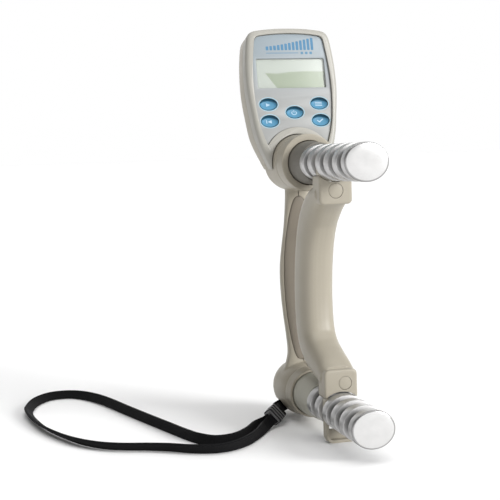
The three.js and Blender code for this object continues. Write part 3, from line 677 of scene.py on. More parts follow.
def fused(name, voxel, smooth, *meshes):
    """Several bodies moulded as one, with small fillets where they meet."""
    return with_modifiers(
        joined(name, *meshes),
        ("REMESH", {"mode": "VOXEL", "voxel_size": voxel * MM}),
        ("SMOOTH", {"factor": 0.5, "iterations": smooth}),
    )


# ---- wrist strap
STRAP_WIDTH = 5.8
STRAP_THICKNESS = 1.6
STRAP_SPACING = 2.4
STRAP_EXIT = (-7.4, 6.4, -136.8)
SLIDER = (-22.1, -18.0, -137.4)
SLIDER_ALONG = (-0.657, -0.679, -0.328)
SLIDER_ACROSS = (0.62, -0.23, -0.76)
SLIDER_HALF = (3.7, 4.8, 3.2)
# The middle of the loop on the floor, in x and y, from the keeper round and back to it.
LOOP_ROUTE = [
    (-33.5, -24.5), (-43.7, -38.6), (-52.4, -47.6), (-62.4, -49.2), (-69.4, -41.4), (-74, -30),
    (-80.1, -9.7), (-87, 13.7), (-95, 41.8), (-104.1, 73.9), (-112.6, 93.5), (-122, 102.2),
    (-133.5, 101), (-143.1, 88.3), (-148.3, 71.2), (-149.4, 60.1), (-148.5, 46), (-144.9, 23.2),
    (-139.3, 3.5), (-130.3, -19), (-120.3, -33.6), (-109.6, -41.4), (-98.2, -46.6), (-87.4, -52.8),
    (-77.3, -60.4), (-66.4, -64.4), (-57.4, -62.6), (-48, -55.4), (-38.6, -43), (-30.6, -29),
]


def catmull_rom(a, b, c, d, t):
    """The value at share t of the way from b to c, for numbers or vectors."""
    square, cube = 2 * a - 5 * b + 4 * c - d, 3 * b - a - 3 * c + d
    return 0.5 * (2 * b + (c - a) * t + square * t ** 2 + cube * t ** 3)


def smooth_route(points, step=1.5):
    """A Catmull-Rom line through the points, sampled about every step mm."""
    points = [Vector(p) for p in points]
    padded = [2 * points[0] - points[1], *points, 2 * points[-1] - points[-2]]
    out = []
    for around in zip(padded, padded[1:], padded[2:], padded[3:]):
        count = max(2, round((around[2] - around[1]).length / step))
        out += [catmull_rom(*around, k / count) for k in range(count)]
    out.append(points[-1])
    return out


def strap_points():
    """The strap's route: out of the slot, through the keeper, round the loop, and back the same way."""
    strap_z = FLOOR + STRAP_WIDTH / 2 + 0.1
    along = Vector((-0.695, -0.718))
    side = Vector((-along.y, along.x))
    near = STRAP_SPACING / 2

    def beside(distance, offset, z):
        p = Vector(SLIDER[:2]) + along * distance + side * offset
        return (p.x, p.y, z)

    def leg(offset):
        return [
            (STRAP_EXIT[0] - 0.7 * offset, STRAP_EXIT[1] + 0.7 * offset, STRAP_EXIT[2]),
            (-15.4 - 0.8 * offset, -3.2 + 0.6 * offset, -137),
            beside(-6.4, -offset, -137.2),
        ]

    loop = [(x, y, strap_z) for x, y in LOOP_ROUTE]
    return leg(near) + [beside(6.4, -near, -139)] + loop + [beside(6.4, near, -139)] + leg(-near)[::-1]


# How far the band leans out of upright, in degrees, at each distance along it.
BAND_LEAN = [
    (0, 38), (30, 38), (62, 0), (170, 6), (250, 46), (370, 54), (420, 42), (475, 30), (505, 0), (535, -38),
    (700, -38),
]


def band_lean(distance):
    for (d0, a0), (d1, a1) in zip(BAND_LEAN, BAND_LEAN[1:]):
        if d0 <= distance <= d1:
            t = (distance - d0) / (d1 - d0)
            return math.radians(a0 + (a1 - a0) * t * t * (3 - 2 * t))


def settled(route):
    """The route with its lean at each point, and with the parts on the floor let down onto it."""
    leans, distance = [], 0.0
    for i, p in enumerate(route):
        distance += (p - route[i - 1]).length if i else 0.0
        lean = band_lean(distance)
        leans.append(lean)
        if p.z < FLOOR + STRAP_WIDTH / 2 + 0.2:
            p.z = FLOOR + 0.1 + (STRAP_WIDTH * math.cos(lean) + STRAP_THICKNESS * abs(math.sin(lean))) / 2
    return leans


def strap_mesh(route, leans):
    """A band on its edge whose flat sides face across the route, with sewn, slightly thick rims."""
    half_t, half_w = STRAP_THICKNESS / 2, STRAP_WIDTH / 2
    section = [
        (half_t * 0.55, -half_w), (half_t, -half_w + 0.5), (half_t * 0.86, -half_w + 1.1),
        (half_t * 0.86, 0), (half_t * 0.86, half_w - 1.1), (half_t, half_w - 0.5), (half_t * 0.55, half_w),
    ]
    section += [(-a, b) for a, b in reversed(section)]
    count = len(section)
    verts, lengths = [], [0.0]
    for i, p in enumerate(route):
        ahead = (route[min(i + 1, len(route) - 1)] - route[max(i - 1, 0)]).normalized()
        side = Vector((-ahead.y, ahead.x, 0)).normalized()
        if i:
            lengths.append(lengths[-1] + (p - route[i - 1]).length)
        lean = leans[i]
        up = Vector((0, 0, math.cos(lean))) - side * math.sin(lean)
        side = side * math.cos(lean) + Vector((0, 0, math.sin(lean)))
        verts += [tuple(p + side * a + up * b) for a, b in section]
    first, last = end_faces(len(route), count)
    faces = side_faces(len(route), count) + [first[::-1], last]
    mesh = bpy.data.meshes.new("strap_band")
    mesh.from_pydata([IN_PLACE @ Vector(v) for v in verts], [], faces)
    layer = mesh.uv_layers.new(name="band")
    for polygon in mesh.polygons:
        for loop_index in polygon.loop_indices:
            row, k = divmod(mesh.loops[loop_index].vertex_index, count)
            layer.data[loop_index].uv = (lengths[row] * MM, section[k][1] / STRAP_WIDTH)
    return mesh, lengths[-1]


def add_strap():
    """The strap's band, which runs out of the handle, and its keeper."""
    route = smooth_route(strap_points())
    mesh, length = strap_mesh(route, settled(route))
    band = finish_piece(mesh, "wrist_strap_band", "body", "strap_webbing",
                        ["wrist_strap", "strap_leg_back", "strap_leg_front"])
    slider = add_slider()


def add_slider():
    """A ribbed keeper that both strands of the strap run through, with painted shade between its ribs."""
    along, across = Vector(SLIDER_ALONG).normalized(), Vector(SLIDER_ACROSS).normalized()
    up = along.cross(across).normalized()
    across = up.cross(along)
    axes = Matrix((along, across, up)).transposed().to_4x4()
    matrix = IN_PLACE @ Matrix.Translation(SLIDER) @ axes
    half_length, half_width, half_height = SLIDER_HALF
    outline = rounded_box(-half_width, -half_height, half_width, half_height, 1.1)
    ribs, margin = 3, 0.8
    pitch = 2 * (half_length - margin) / ribs
    crest = (0.35, pitch - 0.65)
    sizes = [(-half_length, 0.76), (-half_length + 0.5, 0.88)]
    for i in range(ribs):
        start = -half_length + margin + i * pitch
        sizes += [(start + crest[0] - 0.25, 0.78), (start + crest[0], 1.0)]
        sizes += [(start + crest[1], 1.0), (start + crest[1] + 0.25, 0.78)]
    sizes += [(half_length - 0.5, 0.88), (half_length, 0.76)]
    rings = [[(x, a * size, b * size) for a, b in outline] for x, size in sizes]
    keeper = finish_piece(loft("strap_keeper", rings, matrix), "strap_keeper", "body", "slider_plastic",
                          ["strap_slider"], smooth_angle=40)
    # Painted shade: the faces between the ribs get a near black finish.
    keeper.data.materials.append(speckled("slider_groove_shade", (0.012, 0.012, 0.013), 0.6))
    to_keeper = matrix.inverted()
    for face in keeper.data.polygons:
        along_rib = ((to_keeper @ face.center).x + half_length - margin) % pitch
        face.material_index = 0 if crest[0] < along_rib < crest[1] else 1
    return keeper


# ---- display head
def head_outline(inset=0.0):
    """The head's outline seen square on, drawn in towards its middle by about the inset all round."""
    r = 15.9 - inset
    arc = [(r * math.cos(a), r * math.sin(a)) for a in sweep(-math.pi / 2, math.radians(-27), 14)]
    flank = bezier_path(arc[-1], ((19.2, 2.6), (22.8, 12), (24, 22)), ((25.2, 32), (26.3, 38), (26.3, 46)),
                        ((26.3, 56), (25.6, 62), (24.7, 68)), ((24, 73.6), (22.4, 75.4), (18, 75.9)),
                        ((12, 76.8), (6, 77.1), (0, 77.1)))
    across, along = 1 - inset / 26.3, 1 - inset / 46.5
    middle = 30.6
    outline = mirrored([(0.0, -r)] + arc[1:-1] + flank)
    return [(x * across, middle + (y - middle) * along) for x, y in outline]


def face_outline(grow=0.0):
    """The faceplate's outline: a round notch below, bowed flanks and a crowned top."""
    r = 20 - grow
    arc = [(r * math.cos(a), 0.2 + r * math.sin(a)) for a in sweep(math.pi / 2, math.radians(31), 16)]
    g = grow
    flank = bezier_path(
        (17.143 + 1.4 * g, 10.5 - 0.4 * g),
        ((19 + g, 15), (20.7 + g, 21), (21.4 + g, 26)), ((22.3 + g, 34), (22.6 + g, 40), (22.3 + g, 48)),
        ((22 + g, 56), (21 + g, 63), (20.2 + g, 68.4)),
        ((19.8 + g, 71.2 + g), (18.8 + g, 72 + g), (17, 72.3 + g)),
        ((12, 73.2 + g), (6, 73.6 + g), (0, 73.6 + g)))
    return mirrored([(0.0, r + 0.2)] + arc[1:] + flank[1 if not g else 0:])


def key_outline(name, grow):
    return oval(KEY_HALF[0] + grow, KEY_HALF[1] + grow, KEY_PLACES[name])


def boss_tools():
    """What the covers are cut away from: the boss behind the upper collar and all below it."""
    radius, far = UPPER_BOSS_R + 0.55, 60
    boss = turned("boss_tool", rod(radius, -far, far), segments=128)
    below = box_mesh("low_tool", (-40, -far, -far), (40, far, -3.2))
    return boss, below


def cover_rings(profile):
    """Rings of the head's outline for a list of (inset, depth); low down they follow the level boss."""
    rings = []
    for inset, z in profile:
        ring = []
        for x, y in head_outline(inset):
            t = min(max(y / 25, 0), 1)
            share = 1 - t * t * (3 - 2 * t)
            ring.append((x * (1 + DRAFT * z), y - share * z * math.tan(HEAD_TILT), z))
        rings.append(ring)
    return rings


def add_head_covers():
    """The two halves of the display housing, with every opening cut through them."""
    quarter = sweep(0, math.pi / 2, 6)
    front_round, back_round = 2.4, 6.0
    front_profile = [(0.12, COVER_JOINT), (0, COVER_JOINT + 0.15)]
    front_profile += [
        (front_round * (1 - math.cos(a)), RIM - front_round * (1 - math.sin(a))) for a in quarter
    ]
    bezel = loft("bezel", cover_rings(front_profile), ON_FACE)
    recesses = [inset_box(SCREEN, -0.6, 1)] + [key_outline(name, 0.8) for name in KEY_PLACES]
    bezel = boolean(bezel, *boss_tools(), plate("face_recess", [face_outline(0.3)], -0.9, 6),
                    *[plate("recess", [outline], -6, 3) for outline in recesses])
    bezel = with_modifiers(bezel, edge_bevel(0.45))
    finish_piece(bezel, "bezel", "body", "shell_plastic_light", ["head_front_cover"])

    joint = COVER_JOINT - 0.2
    back_profile = [
        (back_round * (1 - math.sin(a)), HEAD_BACK + back_round * (1 - math.cos(a))) for a in quarter
    ]
    back_profile += [(0, joint - 0.15), (0.12, joint)]
    rear = loft("rear_cover", cover_rings(back_profile), ON_FACE)
    wells = [plate("well", [oval(2.9, 2.9, at, 24)], HEAD_BACK - 3, WELL_FLOOR) for at in COVER_SCREWS]
    rear = boolean(rear, *boss_tools(), plate("door_hole", [inset_box(DOOR, -0.3, 2)], HEAD_BACK - 3, -10),
                   *wells)
    rear = with_modifiers(rear, edge_bevel(0.4))
    finish_piece(rear, "rear_cover", "body", "shell_plastic", ["head_rear_cover"])


def add_face():
    """The overlay, the display behind its window, the print and the keys."""
    holes = [inset_box(SCREEN, 0, 0.8)] + [key_outline(name, 0.35) for name in KEY_PLACES]
    label = plate("face_overlay", [face_outline()] + holes, -0.6, 0, 0.1)
    finish_piece(label, "face_overlay", "body", "face_label", ["faceplate"])
    window = plate("screen_window", [inset_box(SCREEN, 0.15, 0.7)], -1, -0.12, 0.1)
    finish_piece(window, "screen_window", "body", "screen_window", ["display_window"])
    panel = plate("screen_panel", [inset_box(SCREEN, -0.15, 0.5)], -3.2, -1.15, 0.1)
    finish_piece(panel, "screen_panel", "body", "screen_panel", ["display_panel"])
    # A near black strip at the display's right end is a painted shadow between the display and its frame.
    right, bottom = SCREEN[2], SCREEN[1]
    shadow_strip = rounded_box(right - 0.75, bottom + 1.2, right - 0.2, bottom + 7.6, 0.2, 3)
    edge = plate("display_edge_shadow", [shadow_strip], -1.16, -1.1)
    shadow = speckled("edge_shadow", (0.02, 0.022, 0.02))
    finish_piece(edge, "display_edge_shadow", "body", "screen_panel", material=shadow)
    add_face_print()
    ink = key_ink()
    for name in KEY_PLACES:
        add_key(name, ink)


def printed(name, shapes, color):
    """Ink on the face: thin flat shapes, slightly uneven in colour."""
    ink = new_material(name + "_ink", color, 0.5)
    nodes = Nodes(ink)
    nodes.color(nodes.mix(nodes.noise(700, 3), shade(color, 0.86), shade(color, 1.12)))
    nodes.roughness(nodes.noise(300, 2), 0.4, 0.6)
    mesh = joined(name, *[plate("mark", outlines, -0.05, 0.03) for outlines in shapes])
    finish_piece(mesh, name, "body", "face_label", material=ink)


def add_face_print():
    """A rising row of force bars with a rule below it, and a pale ring round each key."""
    bars = []
    count = 13
    for i in range(count):
        x = -12.8 + i * 2.2
        tall = 2.2 + 4.9 * (i / (count - 1)) ** 1.3
        bars.append([rounded_box(x - 0.75, 64.3, x + 0.75, 64.3 + tall, 0.35, 3)])
    printed("force_bars", bars, (0.045, 0.17, 0.30))
    rules = [[rounded_box(-13.6, 62.5, 5.2, 62.85, 0.1, 2)]]
    rules += [[rounded_box(x, 61.9, x + 1.5, 63.3, 0.3, 3)] for x in (6.6, 9.2, 11.8)]
    printed("face_rules", rules, (0.07, 0.19, 0.30))
    rings = [[key_outline(name, 0.85), key_outline(name, 0.35)] for name in KEY_PLACES]
    printed("key_rings", rings, (0.27, 0.42, 0.50))


def key_depth(x, y):
    """How high the dished key top lies, from the face, at a point inside the oval."""
    r = min(1.0, math.hypot(x / KEY_HALF[0], y / KEY_HALF[1]))
    return -0.15 - (1.25 + 0.75 * y / KEY_HALF[1]) * (1 - r ** 5)


# Each key's symbol, as outlines about the middle of the key, before they are stretched.
MARK_STRETCH = (1.2, 1.05)
KEY_MARKS = {
    "test": [[(-0.9, -1.0), (1.1, 0.0), (-0.9, 1.0)]],
    "mode": [rounded_box(-1.7, y, 1.7, y + 0.42, 0.15, 2) for y in (-1.1, -0.2, 0.7)],
    "power": [rounded_box(-0.22, 0.1, 0.22, 1.5, 0.15, 2)],
    "reset": [[(1.1, -1.0), (-0.9, 0.0), (1.1, 1.0)], rounded_box(-1.5, -1.0, -1.1, 1.0, 0.15, 2)],
    "enter": [[(-1.6, 0.1), (-1.2, 0.5), (-0.4, -0.3), (1.3, 1.2), (1.7, 0.8), (-0.4, -1.1)]],
}


def power_ring():
    """An open ring round the power key's stroke."""
    turn = [math.radians(a) for a in sweep(125, 125 + 290, 22)]
    return [(1.35 * math.cos(a), 1.2 * math.sin(a)) for a in turn] + [
        (0.95 * math.cos(a), 0.82 * math.sin(a)) for a in reversed(turn)]


def add_key(name, ink):
    """A dished cap in an oval well, with a pale symbol that follows the dish."""
    x, y = KEY_PLACES[name]
    profile = [(1.0, -3.2), (1.0, -0.5), (0.985, -0.2)]
    profile += [(size, None) for size in (0.96, 0.925, 0.885, 0.84, 0.78, 0.7, 0.6, 0.46, 0.3, 0.12)]
    rings = []
    for size, z in profile:
        ring = [(size * px, size * py) for px, py in oval(*KEY_HALF, steps=48)]
        rings.append([(x + px, y + py, key_depth(px, py) if z is None else z) for px, py in ring])
    body = name + "_key"
    cap = loft(name + "_cap", rings, ON_FACE)
    finish_piece(cap, name + "_cap", body, "key_plastic", ["key_" + name], smooth_angle=60)
    marks = []
    for outline in KEY_MARKS[name] + ([power_ring()] if name == "power" else []):
        outline = [(MARK_STRETCH[0] * px, MARK_STRETCH[1] * py) for px, py in outline]
        mark = plate("mark", [outline], 0, 0.05, matrix=Matrix())
        for vertex in mark.vertices:
            vertex.co.z += key_depth(vertex.co.x, vertex.co.y)
        mark.transform(ON_FACE @ Matrix.Translation((x, y, 0)))
        marks.append(mark)
    finish_piece(joined(name + "_symbol", *marks), name + "_symbol", body, "key_plastic", material=ink)


def key_ink():
    """The pale blue print of the key symbols."""
    ink = new_material("key_white", (0.40, 0.54, 0.64), 0.5)
    nodes = Nodes(ink)
    nodes.color(nodes.mix(nodes.noise(900, 3), (0.30, 0.45, 0.57), (0.46, 0.60, 0.69)))
    return ink


def add_battery_door():
    """The door's panel with five finger ribs near its free edge."""
    door = plate("battery_door_panel", [inset_box(DOOR, 0, 1.8)], HEAD_BACK, -20.9, 0.5)
    ribs = []
    for i in range(5):
        y = 50.0 + i * 1.3
        outline = rounded_box(-6, y, 6, y + 0.55, 0.25, 3)
        ribs.append(plate("grip_rib", [outline], HEAD_BACK - 0.45, HEAD_BACK + 0.2, 0.15))
    door = joined("battery_door_panel", door, *ribs)
    finish_piece(door, "battery_door_panel", "door", "shell_plastic", ["battery_door"])


def add_screw(node, axis_matrix, radius, head, length):
    """A pan head screw with a cross recess; its axis is Y, and its head faces +Y."""
    shank, half_slot = 1.2, 0.33
    name = node + "_steel"
    profile = [(0, -length), (shank, -length), (shank, 0), (radius, 0), (radius, head), (0, head)]
    body = turned(name, rounded(profile, {4: 0.7, 3: 0.2}), axis_matrix, segments=32)
    reach = radius * 0.6
    for turn in (0, math.pi / 2):
        corners = [(-reach, -half_slot), (reach, -half_slot), (reach, half_slot), (-reach, half_slot)]
        slot = loft("slot", [[(x, y, z) for x, z in corners] for y in (head - 0.8, head + 1)],
                    axis_matrix @ Matrix.Rotation(turn, 4, "Y"))
        body = boolean(body, slot)
    finish_piece(body, name, "body", "screw_steel", [node])


def across_handle(x, y, z):
    """A frame at a point of the handle whose Y axis points along +X."""
    return IN_PLACE @ Matrix.Translation((x, y, z)) @ Matrix.Rotation(-math.pi / 2, 4, "Z")


def add_screws():
    for i, (x, y) in enumerate(COVER_SCREWS, 1):
        seat = ON_FACE @ Matrix.Translation((x, y, WELL_FLOOR - 0.2))
        add_screw(f"cover_screw_{i}", seat @ Matrix.Rotation(-math.pi / 2, 4, "X"), 2.4, 2.0, 13)
    for i, (y, z) in enumerate(HANDLE_SCREWS, 1):
        add_screw(f"handle_screw_{i}", across_handle(5.4, y, z), 2.3, 1.7, 11)


# ---- fixed handle
# The height, front, back and half width of each station down the moulded shells.
GRIP_STATIONS = [
    (-8, -4, 6.2, 6.6), (-17, -3.8, 6, 6.6), (-26, -3.2, 5.8, 7.1), (-36, -1.9, 6.6, 7.8),
    (-46, 0.2, 8.8, 8.6), (-56, 1.6, 10.8, 9.4), (-65, 2, 11.4, 9.6), (-76, 1.6, 10.4, 9.4),
    (-87, 0.2, 8.4, 8.9), (-98, -2.2, 6.9, 8.2), (-107, -3.6, 6.3, 8), (-113.5, -4, 6.6, 9.6),
    (-119, -4, 6.8, 12),
]


def between(stations, z):
    """Smoothly interpolated values of the stations at height z."""
    for (z0, *_), (z1, *_) in zip(stations, stations[1:]):
        if z1 <= z:
            break
    i = [s[0] for s in stations].index(z0)
    picks = [stations[max(i - 1, 0)], stations[i], stations[i + 1], stations[min(i + 2, len(stations) - 1)]]
    t = (z - z0) / (z1 - z0)
    return [catmull_rom(*values, t) for values in zip(*(p[1:] for p in picks))]


def grip_section(z, count=44):
    """A ring of the fixed handle, nearly flat in front and round behind."""
    front, back, half = between(GRIP_STATIONS, z)
    middle = front + (back - front) * 0.3
    ring = []
    for i in range(count):
        a = 2 * math.pi * i / count
        c, s = math.cos(a), math.sin(a)
        in_front = s < 0
        x = half * math.copysign(abs(c) ** (0.5 if in_front else 0.8), c)
        rise = abs(s) ** (0.42 if in_front else 0.85)
        y = middle + ((front if in_front else back) - middle) * rise
        ring.append((x, y, z))
    return ring


PAD_TOP = -18.8
PAD_LENGTH = 91.6
PAD_HALF_WIDTH = 7.2


def pad_half(z):
    """Half the pad's width at a height: pointed at both ends, and fuller towards the lower one."""
    along = min(max((PAD_TOP - z) / PAD_LENGTH, 0), 1)
    return PAD_HALF_WIDTH * max(math.sin(math.pi * along), 0) ** (0.41 - 0.13 * along) + 0.6


def pad_body(grow, depth, crown, name, count=56):
    """The leaf-shaped pad in the front of the handle, grown all round for its pocket."""
    rings = []
    for i in range(count + 1):
        share = (1 - math.cos(math.pi * i / count)) / 2
        z = PAD_TOP + grow - (PAD_LENGTH + 2 * grow) * share
        half = max(1.0, pad_half(z)) + grow
        y = between(GRIP_STATIONS, z)[0]
        lift = crown * min(1, half / 6)
        shape = [(-1, depth), (-1, 0.3), (-0.93, -0.1 * lift)]
        shape += [(-0.8, -0.55 * lift), (-0.55, -0.82 * lift), (-0.28, -0.95 * lift)]
        ring = [(half * a, y + b, z) for a, b in shape]
        ring += [(0, y - lift, z)] + [(-x, b, z) for x, b, z in reversed(ring)]
        rings.append(ring)
    return loft(name, rings)


def half_of(mesh, side, gap=0.2):
    """The part of a mesh on one side of the parting plane, closed where it is cut."""
    bm = bmesh.new()
    bm.from_mesh(mesh)
    cut = bmesh.ops.bisect_plane(
        bm, geom=bm.verts[:] + bm.edges[:] + bm.faces[:], dist=1e-7,
        plane_co=(side * gap * MM, 0, 0), plane_no=(side, 0, 0), clear_inner=True)
    edges = [e for e in cut["geom_cut"] if isinstance(e, bmesh.types.BMEdge)]
    bmesh.ops.triangle_fill(bm, use_beauty=True, edges=edges)
    bmesh.ops.recalc_face_normals(bm, faces=bm.faces)
    out = bpy.data.meshes.new(mesh.name)
    bm.to_mesh(out)
    bm.free()
    return out


def add_fixed_handle():
    """The two moulded halves with their bores, pocket, slot and screw wells, and the front pad in a rubber
    finish, painted darker than the shells as painted shade.
    """
    front = BOSS_FRONT["upper"]
    upper = turned("upper_boss", rounded(
        [(0, front), (UPPER_BOSS_R, front), (UPPER_BOSS_R, 14), (0, 14)], {2: 5.5, 1: 0.4}, 8))
    front = BOSS_FRONT["lower"]
    lower = turned("lower_boss", [
        (0, front), (13.7, front), (14.2, -10.5), (14.7, -8), (15.0, -5),
        (LOWER_BOSS_R, -1), (LOWER_BOSS_R, 5), (14.85, 8), (14.1, 11), (12.8, 13.6), (10.7, 15.8),
        (7.8, 17.2), (4, 17.85), (0, 18)], ON_LOWER_POST)
    count, top, bottom = 74, -8.2, -118.6
    grip = loft("grip", [grip_section(top + (bottom - top) * i / count) for i in range(count + 1)])
    tongue = box_mesh("tongue", (-7, 6, 10), (7, 10, 22))
    _, y, z = STRAP_EXIT
    slot = rounded_box(y - 8.8, z - 3.6, y + 4.2, z + 3.3, 1.2, 4)
    body = boolean(
        fused("handle_body", 0.55, 6, upper, lower, grip, tongue),
        turned("upper_bore", rod(MOUTH_R, -40, 7)),
        turned("lower_bore", rod(MOUTH_R, -40, 8), ON_LOWER_POST),
        pad_body(0.3, 2.2, 3.0, "pad_pocket"),
        loft("strap_slot", [[(x, y, z) for y, z in slot] for x in (-30, -5)]),
    )
    for name, side in (("left", -1), ("right", 1)):
        shell = half_of(body, side)
        if name == "right":
            places = [across_handle(0, y, z) for y, z in HANDLE_SCREWS]
            shell = boolean(shell, *[turned("well", rod(2.7, 5.2, 20), at, 32) for at in places])
        finish_piece(shell, f"handle_{name}_half", "body", "shell_plastic", [f"handle_shell_{name}"],
                     smooth_angle=45)
    # The pad's darker colour is painted shade.
    pad = with_modifiers(pad_body(0.0, 1.8, 0.6, "pad"), edge_bevel(0.25, 40))
    finish_piece(pad, "front_pad", "body", "shell_plastic", ["handle_front_pad"],
                 soft_rubber("grip_pad_shaded", PAD_SHADED), 50)


# ---- posts, sleeves and collars
def post_profile():
    """A post's profile: a root under the sleeve, then lands with rounded edges and a groove behind each."""
    core, top, root = POST_CORE, POST_HALF_HEIGHT, 7.6
    corners, radii = [(0, -4.3), (root, -4.3), (root, FIRST_LAND_Y)], {}
    for i in range(GRIP_POSITIONS + 1):
        back = FIRST_LAND_Y - i * GRIP_PITCH
        last = i == GRIP_POSITIONS
        front = POST_TIP_Y if last else back - LAND
        radii[len(corners) + 1] = 0.4
        radii[len(corners) + 2] = 0.6 if last else 0.3
        corners += [(core if i else root, back), (top, back), (top, front + (0.35 if last else 0))]
        if not last:
            radii[len(corners)] = radii[len(corners) + 1] = 0.35
            corners += [(core, front), (core, back - GRIP_PITCH + 0.001)]
    corners += [(5.6, POST_TIP_Y + 0.1), (0, POST_TIP_Y)]
    return clean(rounded(corners, radii, 3))


def clean(profile):
    """The profile without points that repeat the one before."""
    out = [profile[0]]
    for p in profile[1:]:
        if (Vector(p) - Vector(out[-1])).length > 0.004:
            out.append(p)
    return out


def add_posts():
    """The two grooved posts with their tapered sleeves, and the collars that they leave."""
    mouth = MOUTH_R
    for side, matrix in POSTS.items():
        name = side + "_grooved_post"
        post = turned(name, post_profile(), matrix, 128, POST_WIDEN)
        finish_piece(post, name, "body", "post_metal", [side + "_post"], smooth_angle=30)
        name = side + "_sleeve"
        root, back = mouth - 0.4, BOSS_FRONT[side] + 2
        profile = [(9.3, back), (root, back), (root, -27), (10.55, -41.6), (9.3, -41.6)]
        sleeve = turned(name, rounded(profile, {3: 0.5, 4: 0.3}), matrix)
        # Each sleeve gets its own colour: painted shade on the upper one, painted light on the lower one.
        rubber = soft_rubber(name + "_rubber", SLEEVE_LIT_AND_SHADED[side])
        finish_piece(sleeve, name, "body", "sleeve_rubber", [side + "_post_sleeve"], rubber)
    upper, lower = [front - 0.3 for front in BOSS_FRONT.values()]
    collars = {
        "upper": rounded([(mouth, upper), (UPPER_BOSS_R, upper), (UPPER_BOSS_R, -25.0), (mouth, -25.0)],
                         {1: 0.3, 2: 0.6, 3: 0.4}, 6),
        "lower": rounded([(mouth, lower), (13.9, lower), (13.5, -15.6), (13.3, -20.3), (mouth, -20.3)],
                         {1: 0.2, 2: 2.5, 3: 0.35, 4: 0.3}, 5),
    }
    for side, profile in collars.items():
        name = side + "_collar_ring"
        collar = turned(name, profile, POSTS[side])
        finish_piece(collar, name, "body", "shell_plastic", [side + "_collar"])


# ---- adjustable handle
# The bow's centre line (y, z) with its half thickness, from the upper block to the lower.
BOW = [
    (-61, -15.8, 5.6), (-52.8, -18.2, 8), (-45.3, -22.2, 9.7), (-38.1, -28.1, 10.8),
    (-32.3, -36.7, 11.4), (-28.4, -47, 11.7), (-25.8, -59, 12), (-24.7, -71, 12),
    (-25, -81, 12.1), (-26.4, -89.5, 12), (-30.1, -96.4, 11.3), (-36.9, -101.6, 10.2),
    (-46, -105.2, 9), (-54, -108, 8), (-61, -110.6, 6.4),
]
BLOCK_HALF_WIDTH = 8.8
BLOCK_Y = (HOOK_Y - 2.3, HOOK_Y + 9)
BLOCK_Z = {"upper": (-21.3, -5.5), "lower": (-121.5, -105.8)}
PINS = {"upper": (0, -14.3, 3.8), "lower": (2.2, -112.8, 3.4)}
PLATE_HALF = 2.55
SLOT_HALF = POST_CORE * POST_WIDEN + 0.3


def bow_mesh():
    """The curved grip, with an oval section that is flatter on the fingers' side."""
    route = smooth_route(BOW, 1.4)
    count = 40
    rings = []
    for i, p in enumerate(route):
        ahead = route[min(i + 1, len(route) - 1)] - route[max(i - 1, 0)]
        ahead = Vector((ahead.x, ahead.y)).normalized()
        out = Vector((ahead.y, -ahead.x))
        ring = []
        for k in range(count):
            a = 2 * math.pi * k / count
            c, s = math.cos(a), math.sin(a)
            power = 0.72 if s > 0 else 0.9
            x = HANDLE_HALF_WIDTH * math.copysign(abs(c) ** power, c)
            d = p.z * math.copysign(abs(s) ** power, s)
            ring.append((x, p.x + out.x * d, p.y + out.y * d))
        rings.append(ring)
    return loft("bow", rings)


def block_mesh(side):
    """The block on a post, with its ends eased."""
    y0, y1 = BLOCK_Y
    z0, z1 = BLOCK_Z[side]
    shape = rounded_box(-BLOCK_HALF_WIDTH, z0, BLOCK_HALF_WIDTH, z1, 2.4, 6)
    middle = (z0 + z1) / 2
    rings = []
    for y, size in ((y0, 0.94), (y0 + 0.25, 0.975), (y0 + 0.8, 1.0), (y1 - 0.8, 1.0), (y1, 0.95)):
        rings.append([(x * size, y, middle + (z - middle) * size) for x, z in shape])
    return loft(side + "_block", rings)


def land_room(name, clearance, matrix):
    """The oval tunnel that a post's lands slide through."""
    wide = (POST_HALF_WIDTH + clearance) / (POST_HALF_HEIGHT + clearance)
    radius = POST_HALF_HEIGHT + clearance
    return turned(name, rod(radius, -95, -30), matrix, widen=wide)


def sleeve_room(name, matrix):
    """The space that a post's sleeve takes, seen from the handle in the position nearest the head."""
    radius = MOUTH_R - 0.1
    profile = [(0, -54.6), (10.9, -54.6), (radius, -39.7), (radius, -20), (0, -20)]
    return turned(name, profile, matrix)


def add_adjustable_handle():
    """The bow and its blocks in one, with room for the posts, and a pin in each block."""
    bow = boolean(bow_mesh(), box_mesh("ahead", (-20, -90, -160), (20, BLOCK_Y[0] + 0.5, 20)))
    body = fused("adjustable_grip", 0.45, 2, bow, block_mesh("upper"), block_mesh("lower"))
    for side, matrix in POSTS.items():
        body = boolean(body, land_room(side + "_land_room", 0.5, matrix),
                       sleeve_room(side + "_sleeve_room", matrix))
    for side, (x, z, radius) in PINS.items():
        at = IN_PLACE @ Matrix.Translation((x, BLOCK_Y[0], z))
        wide, name = radius + 0.12, side + "_pin"
        body = boolean(body, turned("pin_hole", rod(wide, -5, 4), at, 64))
        profile = rounded([(0, 3.6), (radius, 3.6), (radius, 0.12), (0, 0.12)], {2: 0.25}, 4)
        pin = turned(name, profile, at, 64)
        finish_piece(pin, name, "adjustable", "shell_plastic", [side + "_hook_pin"])
    finish_piece(body, "adjustable_grip", "adjustable", "shell_plastic", ["adjustable_handle"],
                 smooth_angle=50)
    add_fork()
    add_clip()


def standing(name, outline, bevel=0.3):
    """A plate in the hooks' groove, across the posts: drawn in x and z, with its thickness along y."""
    matrix = IN_PLACE @ Matrix.Translation((0, HOOK_Y, 0)) @ Matrix.Rotation(math.pi / 2, 4, "X")
    return plate(name, [outline], -PLATE_HALF, PLATE_HALF, bevel, matrix)


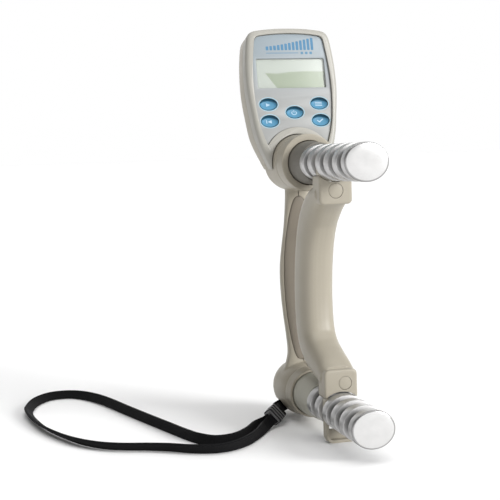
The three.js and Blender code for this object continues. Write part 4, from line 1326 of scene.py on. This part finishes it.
def add_fork():
    """The plate under the upper post, whose slot fits round the bottom of a groove."""
    slot, width = SLOT_HALF, BLOCK_HALF_WIDTH
    turn = sweep(0, -math.pi / 2, 12)
    floor_of_slot = [(slot * math.cos(a), (POST_CORE + 0.4) * math.sin(a)) for a in turn]
    half = [(0.0, -12), (width, -12), (width, 2.8), (width - 0.3, 3.8), (slot + 0.6, 4.2), (slot, 3.8)]
    fork = standing("fork_plate", mirrored(half + floor_of_slot))
    fork = boolean(fork, land_room("fork_room", 0.2, IN_PLACE), operation="INTERSECT")
    finish_piece(fork, "fork_plate", "adjustable", "shell_plastic", ["handle_fork"])


def add_clip():
    """The loop round the lower post, with a web behind it; its foot stands on the floor."""
    width, wall, radius = BLOCK_HALF_WIDTH, 1.6, 3.9
    inner, top = width - wall, -POST_SPACING + 8
    turn = sweep(0, math.pi / 2, 8)
    corner, inside = [
        [(width - radius + r * math.sin(a), FLOOR + radius - r * math.cos(a)) for a in turn]
        for r in (radius, radius - wall)
    ]
    half = [(0.0, FLOOR)] + corner + [(width, top), (SLOT_HALF, top), (inner, -POST_SPACING - 7)]
    loop = standing("clip_loop", mirrored(half + inside[::-1] + [(0.0, FLOOR + wall)]))
    web = box_mesh("clip_web", (-inner - 0.5, HOOK_Y + PLATE_HALF - 1.4, FLOOR + 0.8),
                   (inner + 0.5, HOOK_Y + PLATE_HALF - 0.1, -POST_SPACING - POST_HALF_HEIGHT - 0.5))
    below = box_mesh("below_post", (-20, -90, -160), (20, -40, -POST_SPACING - 1))
    room = boolean(land_room("clip_room", 0.2, ON_LOWER_POST), below, operation="UNION")
    clip = boolean(boolean(loop, web, operation="UNION"), room, operation="INTERSECT")
    finish_piece(clip, "clip_loop", "adjustable", "shell_plastic", ["handle_clip"])


# ---- inside, and the rest
def add_cells():
    """The two cells that an open door shows, laid opposite ways."""
    jacket = [(0, -22), (5.2, -22), (5.2, 20.8), (1.9, 20.8), (1.9, 21.9), (0, 21.9)]
    jacket = rounded(jacket, {1: 0.5, 2: 0.8, 4: 0.3})
    for node, y, facing in (("battery_cell_upper", 50.2, -1), ("battery_cell_lower", 38.8, 1)):
        name = node + "_jacket"
        at = ON_FACE @ Matrix.Translation((0, y, -15.2)) @ Matrix.Rotation(-facing * math.pi / 2, 4, "Z")
        finish_piece(turned(name, jacket, at, 64), name, "body", "cell_jacket", [node])


def finish_cad_nodes():
    """The pieces that keep their CAD shapes get the finish of their slot."""
    for name, node in frame["nodes"].items():
        if not node.hide_render:
            node.data.materials.clear()
            node.data.materials.append(MATERIALS[SLOT_OF[name]])


add_camera()
add_strap()
add_studio()
add_head_covers()
add_face()
add_battery_door()
add_screws()
add_fixed_handle()
add_posts()
add_adjustable_handle()
add_cells()
finish_cad_nodes()
